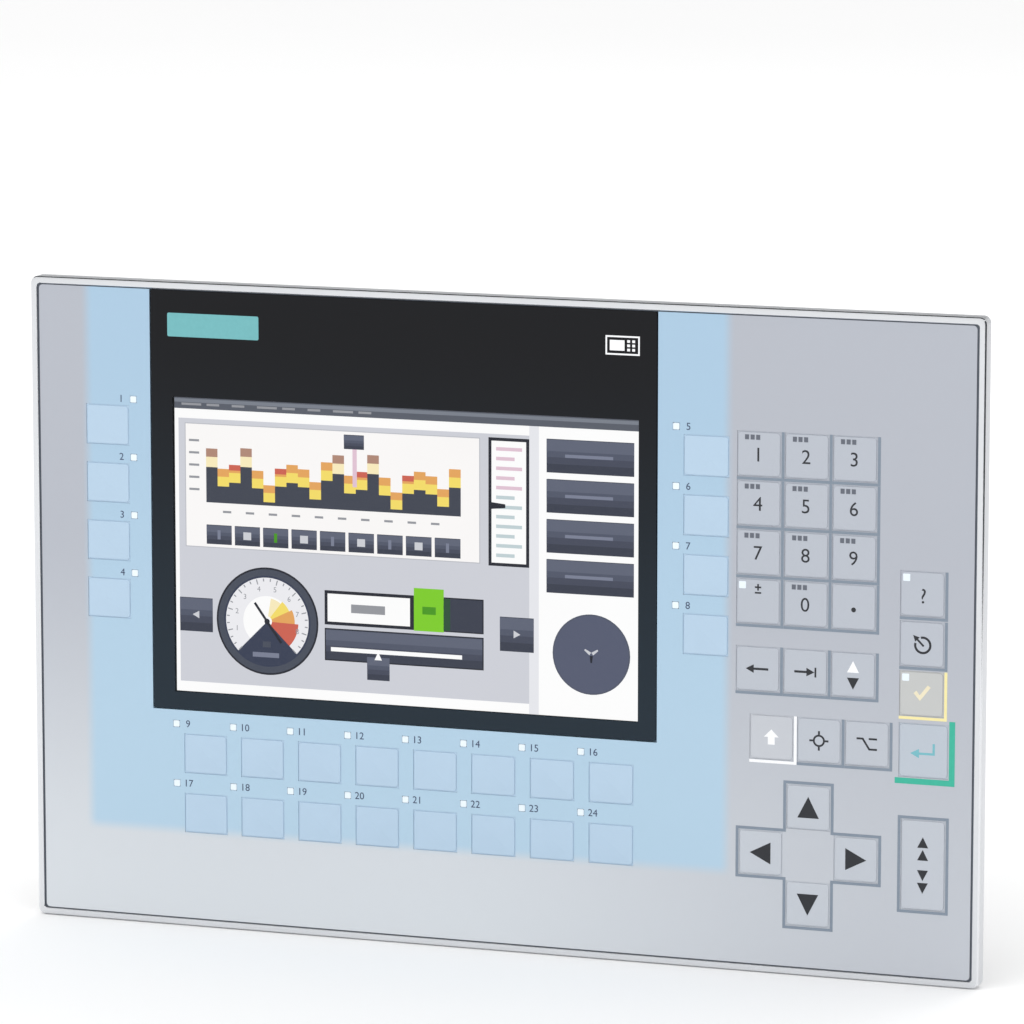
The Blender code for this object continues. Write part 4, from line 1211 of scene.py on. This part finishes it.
def build_earth_screw(cover, steel, ink):
    """Earth terminal on the tray: a washer, a slotted screw and its sign."""
    step = cover.step
    x, z = cover.x[0] + 12.0, cover.z[0] + 9.5
    washer = [(step - 0.2, 4.6), (step + 0.7, 4.6), (step + 0.8, 4.4)]
    washer += [(step + 0.8, 2.0), (step - 0.2, 2.0)]
    screw = [(step, 1.9), (step + 0.7, 1.9), (step + 0.75, 3.4)]
    screw += [(depth, 3.4 - inset) for depth, inset in edge_steps(step + 2.8, 1.2, -1, 5)[::-1]]
    skins = [loft(circles(screw, (x, z), 32)), loft(circles(washer, (x, z), 40), ring=True)]
    made = piece("earth_screw", skins, steel)
    cut(made, [block(around(x, 7.4), (step + 2.0, step + 4.0), around(z, 0.8))])
    beside = x + 8.5
    signs = [rectangle(around(beside, 0.4), (z + 0.2, z + 2.6))]
    for bar, width in enumerate((4.4, 2.8, 1.2)):
        signs.append(rectangle(around(beside, width), around(z - bar, 0.4)))
    piece("earth_sign", printed(signs, step, 1), ink)


def build_gasket(material):
    """Sealing ring with a rounded back."""
    box = Box("panel_gasket")
    front, back = box.y
    width = 4.4
    rows = [(front, grown(box.size, -2 * width), 2.5), (front, box.size, 2.7)]
    for angle in [math.pi * step / 8 for step in range(9)]:
        size = grown(box.size, -width * (1 - math.cos(angle)))
        rows.append((back - 0.7 * (1 - math.sin(angle)), size, 2.6))
    skin = stack(rows, segments=8, ring=True)
    piece("gasket_bead", [skin], material, HOUSING, "panel_gasket")


# ---- ports

JACK_PITCH = 16.0
POLE = 2.9  # distance of the power plug's two wires from its middle


def build_network_jacks(steel, gold, dark, lamps):
    """Shielded sockets with contacts, latches, spring tabs and light pipes."""
    box = Box("network_jacks")
    face = box.z[0]
    front, back = box.y
    can = piece("jack_can", [block(box.x, box.y, box.z)], steel, HOUSING, "network_jacks")
    cavities = []
    notches = []
    liners = []
    wires = []
    for place, x in zip(("left", "right"), around(box.centre.x, JACK_PITCH)):
        cavities.append(block(around(x, 11.9), (front + 3.5, back - 3.0), (face - 1.0, face + 13.0)))
        notches.append(block(around(x, 6.2), (front + 2.1, front + 4.1), (face - 1.5, face + 12.0)))
        liner = around(x, 11.7)
        liners.append(block(liner, (back - 3.4, back - 3.05), (face + 0.6, face + 12.9)))
        liners.append(block(liner, (front + 3.6, back - 3.2), (face + 12.5, face + 12.95)))
        for wire in range(8):
            across = around(x + 1.02 * (wire - 3.5), 0.45)
            wires.append(block(across, (back - 4.1, back - 3.7), (face + 2.0, face + 8.5)))
            wires.append(block(across, (back - 5.7, back - 3.7), (face + 8.1, face + 8.5)))
        for side, tag, lamp in ((-1, "a", lamps[0]), (1, "b", lamps[1])):
            tab = block(around(x + side * 3.2, 1.6), (back - 0.05, back + 0.3), (face + 3.0, face + 9.0))
            pipe = block(around(x + side * 4.6, 2.4), (back - 2.3, back - 0.8), (face - 0.12, face + 1.0))
            piece(f"spring_tab_{place}_{tag}", [tab], steel)
            piece(f"light_pipe_{place}_{tag}", [pipe], lamp)
    cut(can, cavities)
    cut(can, notches)
    piece("jack_liners", liners, dark)
    piece("jack_contacts", wires, gold)


def socket_places(pitch, rise):
    """Places of nine contacts in a row of five over a row of four."""
    rows = ((5, rise), (4, -rise))
    return [(pitch * (i - (count - 1) / 2), v) for count, v in rows for i in range(count)]


def build_serial_port(steel, dark, gold):
    """Nine-way socket: flange, hollow shell, insert with its holes, and two threaded posts."""
    box = Box("serial_port")
    low, root = box.z
    face = low + 5.8
    x, y = box.centre.x, box.centre.y

    def shell(depth, width, height):
        outline = rounded((width, height), 1.6)
        return depth, [(x + u * (1 + 0.2 * v / height), y + v) for u, v in outline]

    rim = [shell(low, 16.8, 8.2), shell(low + 0.2, 17.0, 8.4), shell(face + 0.3, 17.0, 8.4)]
    rim += [shell(face + 0.3, 16.2, 7.6), shell(low, 16.2, 7.6)]
    flange = rounded((box.width, box.depth), 1.2, (x, y), 5)
    skins = [loft(rim, "under", ring=True), plate(flange, (face, face + 1.0), "under")]
    skins.append(block(around(x, 19.5), around(y, 10.6), (face + 0.6, root)))
    for post_x in around(x, 25.0):
        post = circles([(face - 2.5, 1.3), (face - 4.7, 1.4)], (post_x, y))
        nut = [(face - 4.7, 2.4), (face - 4.4, 2.6), (face + 0.4, 2.6)]
        skins.append(loft(post + circles(nut, (post_x, y), outline=hexagon), "under"))
    piece("serial_shell", skins, steel, HOUSING, "serial_port")
    insert = loft([shell(face - 5.3, 16.1, 7.5), shell(face + 0.2, 16.1, 7.5)], "under")
    holes = []
    pins = []
    for u, v in socket_places(2.76, 1.4):
        holes.append(plate(disc(0.62, (x + u, y + v), 16), (face - 6.0, face - 3.0), "under"))
        pins.append(plate(disc(0.4, (x + u, y + v), 12), (face - 3.6, face - 2.0), "under"))
    cut(piece("serial_insert", [insert], dark), holes)
    piece("serial_contacts", pins, gold)


def build_usb_ports(steel, dark, gold):
    """Two stacked sockets with tongues and contacts."""
    box = Box("usb_ports")
    face, x = box.z[0], box.centre.x
    can = piece("usb_can", [block(box.x, box.y, box.z)], steel, HOUSING, "usb_ports")
    cavities = []
    tongues = []
    contacts = []
    for y in around(box.centre.y, 7.2):
        cavities.append(plate(rounded((12.6, 5.4), 0.4, (x, y), 4), (face - 1.0, face + 11.4), "under"))
        tongues.append(block(around(x, 11.0), (y + 0.3, y + 2.1), (face + 0.8, face + 11.5)))
        for strip in range(4):
            across = around(x + 2.3 * (strip - 1.5), 1.1)
            contacts.append(block(across, (y + 0.2, y + 0.4), (face + 1.8, face + 9.0)))
    cut(can, cavities)
    piece("usb_tongues", tongues, dark)
    piece("usb_contacts", contacts, gold)


def build_power_plug(material, steel):
    """Screw plug with wire entries, two clamp screws behind and a ribbed grip."""
    box = Box("power_plug")
    x, y = box.centre.x, box.centre.y
    foot, nose = box.z
    shoulder = nose - 7.0
    tongue, grip = (11.0, 8.4), (13.4, 11.4)
    rows = [(nose, grown(tongue, -0.6), 0.6)] + straight(tongue, 0.6, nose - 0.4, shoulder)
    rows += [(shoulder, grown(grip, -0.4), 0.6)] + straight(grip, 0.6, shoulder - 0.3, foot + 0.5)
    rows.append((foot, grown(grip, -0.8), 0.6))
    cutters = []
    screws = []
    slots = []
    for side in (-1, 1):
        pole = x + side * POLE
        entry = [(foot - 1.0, 2.3), (foot + 0.6, 2.0), (foot + 1.2, 1.7), (foot + 6.0, 1.7)]
        cutters.append(loft(circles(entry, (pole, y - 0.6)), "under"))
        at = (pole, shoulder - 6.0)
        cutters.append(plate(disc(2.0, at), (y + 3.9, y + 7.0)))
        screws.append(loft(circles([(y + 3.7, 1.85), (y + 4.9, 1.85), (y + 5.1, 1.6)], at)))
        slots.append(block(around(pole, 2.8), (y + 4.7, y + 6.0), around(at[1], 0.6)))
        for groove in range(4):
            height = around(shoulder - 4.0 - 1.6 * groove, 0.7)
            cutters.append(block(around(x + side * 6.7, 0.8), around(y, 8.0), height))
    body = stack(rows, (x, y), 5, "under")
    cut(piece("plug_body", [body], material, "power_plug", "power_plug"), cutters)
    cut(piece("plug_screws", screws, steel, "power_plug"), slots)


def build_card_lock(material, card_material, stripe_material):
    """Slide with grip ridges, and the ends of two cards in their slots behind it."""
    box = Box("card_lock")
    base, top = box.x
    y, z = box.centre.y, box.centre.z
    size = (box.depth, box.height)
    rows = straight(size, 1.0, base, base + 1.2) + [(base + 1.55, grown(size, -1.6), 0.8)]
    slide = stack(rows, (y, z), facing="side")
    piece("lock_slide", [slide], material, "card_lock", "card_lock")
    ridge = straight((6.4, 0.8), 0.35, base + 1.45, top - 0.1) + [(top, (6.1, 0.5), 0.2)]
    ridges = [stack(ridge, (y, z + 1.7 * place), 3, "side") for place in range(-2, 3)]
    piece("lock_ridges", ridges, material, "card_lock")
    wall = base - 0.3
    card = (2.1, 24.0)
    rows = straight(card, 0.5, wall - 22.0, wall - 0.6) + [(wall - 0.4, grown(card, -0.3), 0.4)]
    stripe = straight((0.8, 20.0), 0.2, wall - 0.45, wall - 0.37)
    slots = [(y, middle) for middle in around(z, CARD_PITCH)]
    piece("memory_cards", [stack(rows, slot, 3, "side") for slot in slots], card_material)
    piece("card_stripes", [stack(stripe, slot, 2, "side") for slot in slots], stripe_material)


# ---- print on the back

def build_label(cover, material, ink):
    """Blank rating label with bars in place of text and a square of cells, in a thin frame."""
    u, v = cover.label
    size = grown(cover.recess, -3.0)
    end = cover.end
    cell = 1.5
    outlines = box_lines(cover.label, (size[0] / 2 - 2.0, size[1] / 2 - 2.0), 0.4)
    for row, width in enumerate((44.0, 36.0, 40.0, 28.0, 38.0)):
        outlines.append(rectangle((u + 40.0 - width, u + 40.0), around(v + 20.0 - 6.0 * row, 1.1)))
    for i in range(10):
        for j in range(10):
            if (7 * i + 13 * j + 5 * i * j + j * j) % 11 < 5:
                middle = (u - 40.0 + cell * i, v - 22.0 + cell * j)
                outlines.append(rectangle(around(middle[0], cell), around(middle[1], cell)))
    label = plate(rounded(size, 1.2, cover.label, 5), (end - 0.55, end - 0.38))
    piece("rating_label", [label], material)
    piece("label_print", [plate(outline, (end - 0.4, end - 0.35)) for outline in outlines], ink)


def build_signs(cover, ink):
    """Plain signs by the ports: network trees, socket outlines and the plug's polarity."""
    low = cover.low + 7.0
    signs = []
    tree = [(-2.6, -1.05), (-2.2, -1.05), (-2.2, -0.6), (2.2, -0.6), (2.2, -1.05), (2.6, -1.05)]
    tree += [(2.6, -0.2), (0.2, -0.2), (0.2, 0.85), (-0.2, 0.85), (-0.2, -0.2), (-2.6, -0.2)]
    for x in around(Box("network_jacks").centre.x, JACK_PITCH):
        signs.append(moved(tree, (x, low)))
        for u, v in ((0.0, 1.6), (-2.4, -1.8), (2.4, -1.8)):
            signs.append(rectangle(around(x + u, 1.9), around(low + v, 1.5)))
    x = Box("serial_port").centre.x
    signs += box_lines((x, low), (6.0, 2.4), 0.4)
    signs += [disc(0.5, (x + u, low + v), 16) for u, v in socket_places(1.8, 0.9)]
    x = Box("usb_ports").centre.x
    signs += box_lines((x, low), (3.2, 1.6), 0.4)
    signs.append(rectangle(around(x, 4.6), around(low + 0.5, 1.0)))
    x = Box("power_plug").centre.x
    signs.append(rectangle(around(x + POLE, 2.2), around(low, 0.45)))
    signs.append(moved(plus(1.1, 0.45), (x - POLE, low)))
    piece("connector_signs", printed(signs, cover.end, 1), ink)


# ---- stage

def sheet(name, corners, material):
    """A flat part of the stage."""
    mesh = bpy.data.meshes.new(name)
    mesh.from_pydata(corners, [], [(0, 1, 2, 3)])
    mesh.materials.append(material)
    made = placed(name, mesh)
    return made


def build_floor(level):
    finish = Finish("floor", (250, 250, 250), 0.9)
    finish.vary((250, 250, 250), 1, 400.0)
    finish.set("Specular IOR Level", 0.1)
    corners = [(u, v, level) for u, v in rectangle((-9.0, 9.0), (-9.0, 9.0))]
    sheet("floor", corners, finish.material)


def build_flags():
    """Grey sheets that only reflections see, over the panel and to its right."""
    finish = Finish("flag", (60, 62, 66), 0.9)
    finish.vary((60, 62, 66), 2, 200.0)
    overhead = [(u, v, 1.5) for u, v in rectangle((-2.2, 1.2), (-0.4, 2.4))]
    beside = [(0.75, v, w) for v, w in rectangle((-0.7, 0.7), (0.0, 0.7))]
    for name, corners in (("flag_overhead", overhead), ("flag_beside", beside)):
        flag = sheet(name, corners, finish.material)
        flag.visible_camera = False
        flag.visible_diffuse = False
        flag.visible_shadow = False


def build_lights():
    """An even white surround and three soft lamps."""
    world = bpy.data.worlds.new("studio")
    world.use_nodes = True
    world.node_tree.nodes["Background"].inputs["Color"].default_value = (1.0, 1.0, 1.0, 1.0)
    bpy.context.scene.world = world
    for name, offset, size, power in (
        ("key_light", (-0.9, -1.6, 1.5), 1.6, 9.0),
        ("fill_light", (1.5, -1.1, 0.7), 1.4, 4.0),
        ("back_light", (0.3, 1.8, 1.6), 1.8, 12.0),
    ):
        light = bpy.data.lights.new(name, "AREA")
        light.size = size
        light.energy = power
        lamp = placed(name, light)
        lamp.location = MIDDLE + Vector(offset)
        lamp.rotation_euler = (-Vector(offset)).to_track_quat("-Z", "Y").to_euler()
        lamp.visible_camera = False
        lamp.visible_glossy = False


def build_camera():
    """A long lens to the right of the panel and a little above it."""
    camera = bpy.data.cameras.new("camera")
    camera.sensor_width = 36.0
    camera.lens = 210.9
    camera.clip_end = 60.0
    eye = placed("camera", camera)
    eye.location = Vector((MIDDLE.x, bezel_low.y, MIDDLE.z)) + Vector((0.6005, -1.708, 0.3324))
    direction = Vector((-0.3247, 0.9319, -0.1618))
    eye.rotation_euler = direction.to_track_quat("-Z", "Y").to_euler()
    bpy.context.scene.camera = eye


# ---- assembly

INK_COLOURS = {
    "dark": (26, 29, 36),
    "soft": (92, 97, 108),
    "white": (238, 239, 241),
    "line": (122, 134, 148),
    "green": (48, 172, 146),
    "yellow": (234, 222, 160),
    "navy": (50, 62, 92),
    "key_enter": (110, 176, 186),
    "key_acknowledge": (226, 216, 186),
}
CAP_TINTS = {  # the name of a key's cap finish, and the colour that tints it
    "others": ("key_grey", (184, 192, 202)),
    "key_shift": ("key_white", (206, 208, 212)),
    "key_enter": ("key_green", (182, 200, 214)),
    "key_acknowledge": ("key_amber", (212, 208, 184)),
}


def make_inks():
    """Inks by their use, or by the key whose legend they print."""
    inks = {name: ink_finish(f"ink_{name}", colour) for name, colour in INK_COLOURS.items()}
    inks["badge"] = ink_finish("ink_badge", (104, 172, 176), 0.3)
    inks["lamp"] = ink_finish("lamp_window", (226, 236, 243), 0.25)
    inks["key_shift"] = inks["white"]
    return inks


def build_front(inks):
    """Bezel, foil, display, function keys and keys, with all that is printed on them."""
    window, foil = Box("display_window"), Box("key_foil")
    surface = foil.y[0]
    build_bezel(bezel_finish())
    # the bead's dark grey is painted shade in the gap round the foil
    build_foil_edge(ink_finish("gap_shade_bead", (78, 84, 94), 0.6))
    dress("key_foil", foil_finish(window, foil))
    picture = Picture(Box("lcd_module"))
    draw_picture(picture)
    dress("display_window", lens_finish(picture.x, picture.z))
    build_pads(pad_finish())
    film = ink_finish("label_film", (206, 222, 240), 0.6)
    for side in FUNCTION_KEYS:
        dress(f"label_strip_{side}", film)
    caps = {name: (cap_finish(slot, tint), slot) for name, (slot, tint) in CAP_TINTS.items()}
    keys = [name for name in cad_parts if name.startswith("key_") and name != "key_foil"]
    for name in keys:
        build_key(name, caps, inks)
    build_page_key(caps, inks)
    build_key_lines(keys, surface, inks)
    build_function_key_print(surface, inks)
    build_lens_print(window, window.y[0], inks)


def build_rear(inks):
    """Cover, fasteners and ports, and the boards inside."""
    cover = Cover()
    moulded = plastic("cover_plastic", (124, 127, 131), 0.55, 0.7, 0.07, 4)
    black = plastic("black_plastic", (36, 37, 40), 0.45, 0.5, 0.04)
    dark = plastic("insert_plastic", (22, 23, 26), 0.5, 0.4, 0.01)
    steel = metal("steel_sheet", (196, 198, 201), 0.32, (1.0, 1.0, 6.0))
    zinc = metal("zinc_steel", (188, 192, 198), 0.3, (0.6, 3.0, 0.6), 0.006)
    gold = metal("gold_contact", (222, 178, 92), 0.25)
    label = ink_finish("label_film_silver", (206, 208, 210), 0.35)
    green = ink_finish("light_pipe_green", (88, 168, 96), 0.25)
    amber = ink_finish("light_pipe_amber", (214, 164, 70), 0.25)
    build_cover(cover, moulded)
    build_cover_ribs(cover, moulded)
    build_label(cover, label, inks["dark"])
    build_signs(cover, inks["white"])
    build_clips(black, zinc)
    build_screws(zinc)
    build_earth_screw(cover, zinc, inks["white"])
    build_gasket(plastic("gasket_rubber", (30, 30, 32), 0.8, 0.5, 0.03))
    build_network_jacks(steel, gold, dark, (green, amber))
    build_serial_port(steel, dark, gold)
    build_usb_ports(steel, dark, gold)
    build_power_plug(plastic("plug_plastic", (46, 116, 70), 0.5, 0.3), zinc)
    build_card_lock(black, plastic("card_plastic", (44, 60, 92), 0.4, 0.3, 0.01), label)
    board = board_finish()
    dress("keypad_board", board)
    dress("main_board", board)
    dress("lcd_module", steel)


def main():
    bpy.context.scene.view_settings.view_transform = "Standard"
    inks = make_inks()
    build_front(inks)
    build_rear(inks)
    build_floor(cad_low.z - 0.0002)
    build_flags()
    build_lights()
    build_camera()


main()
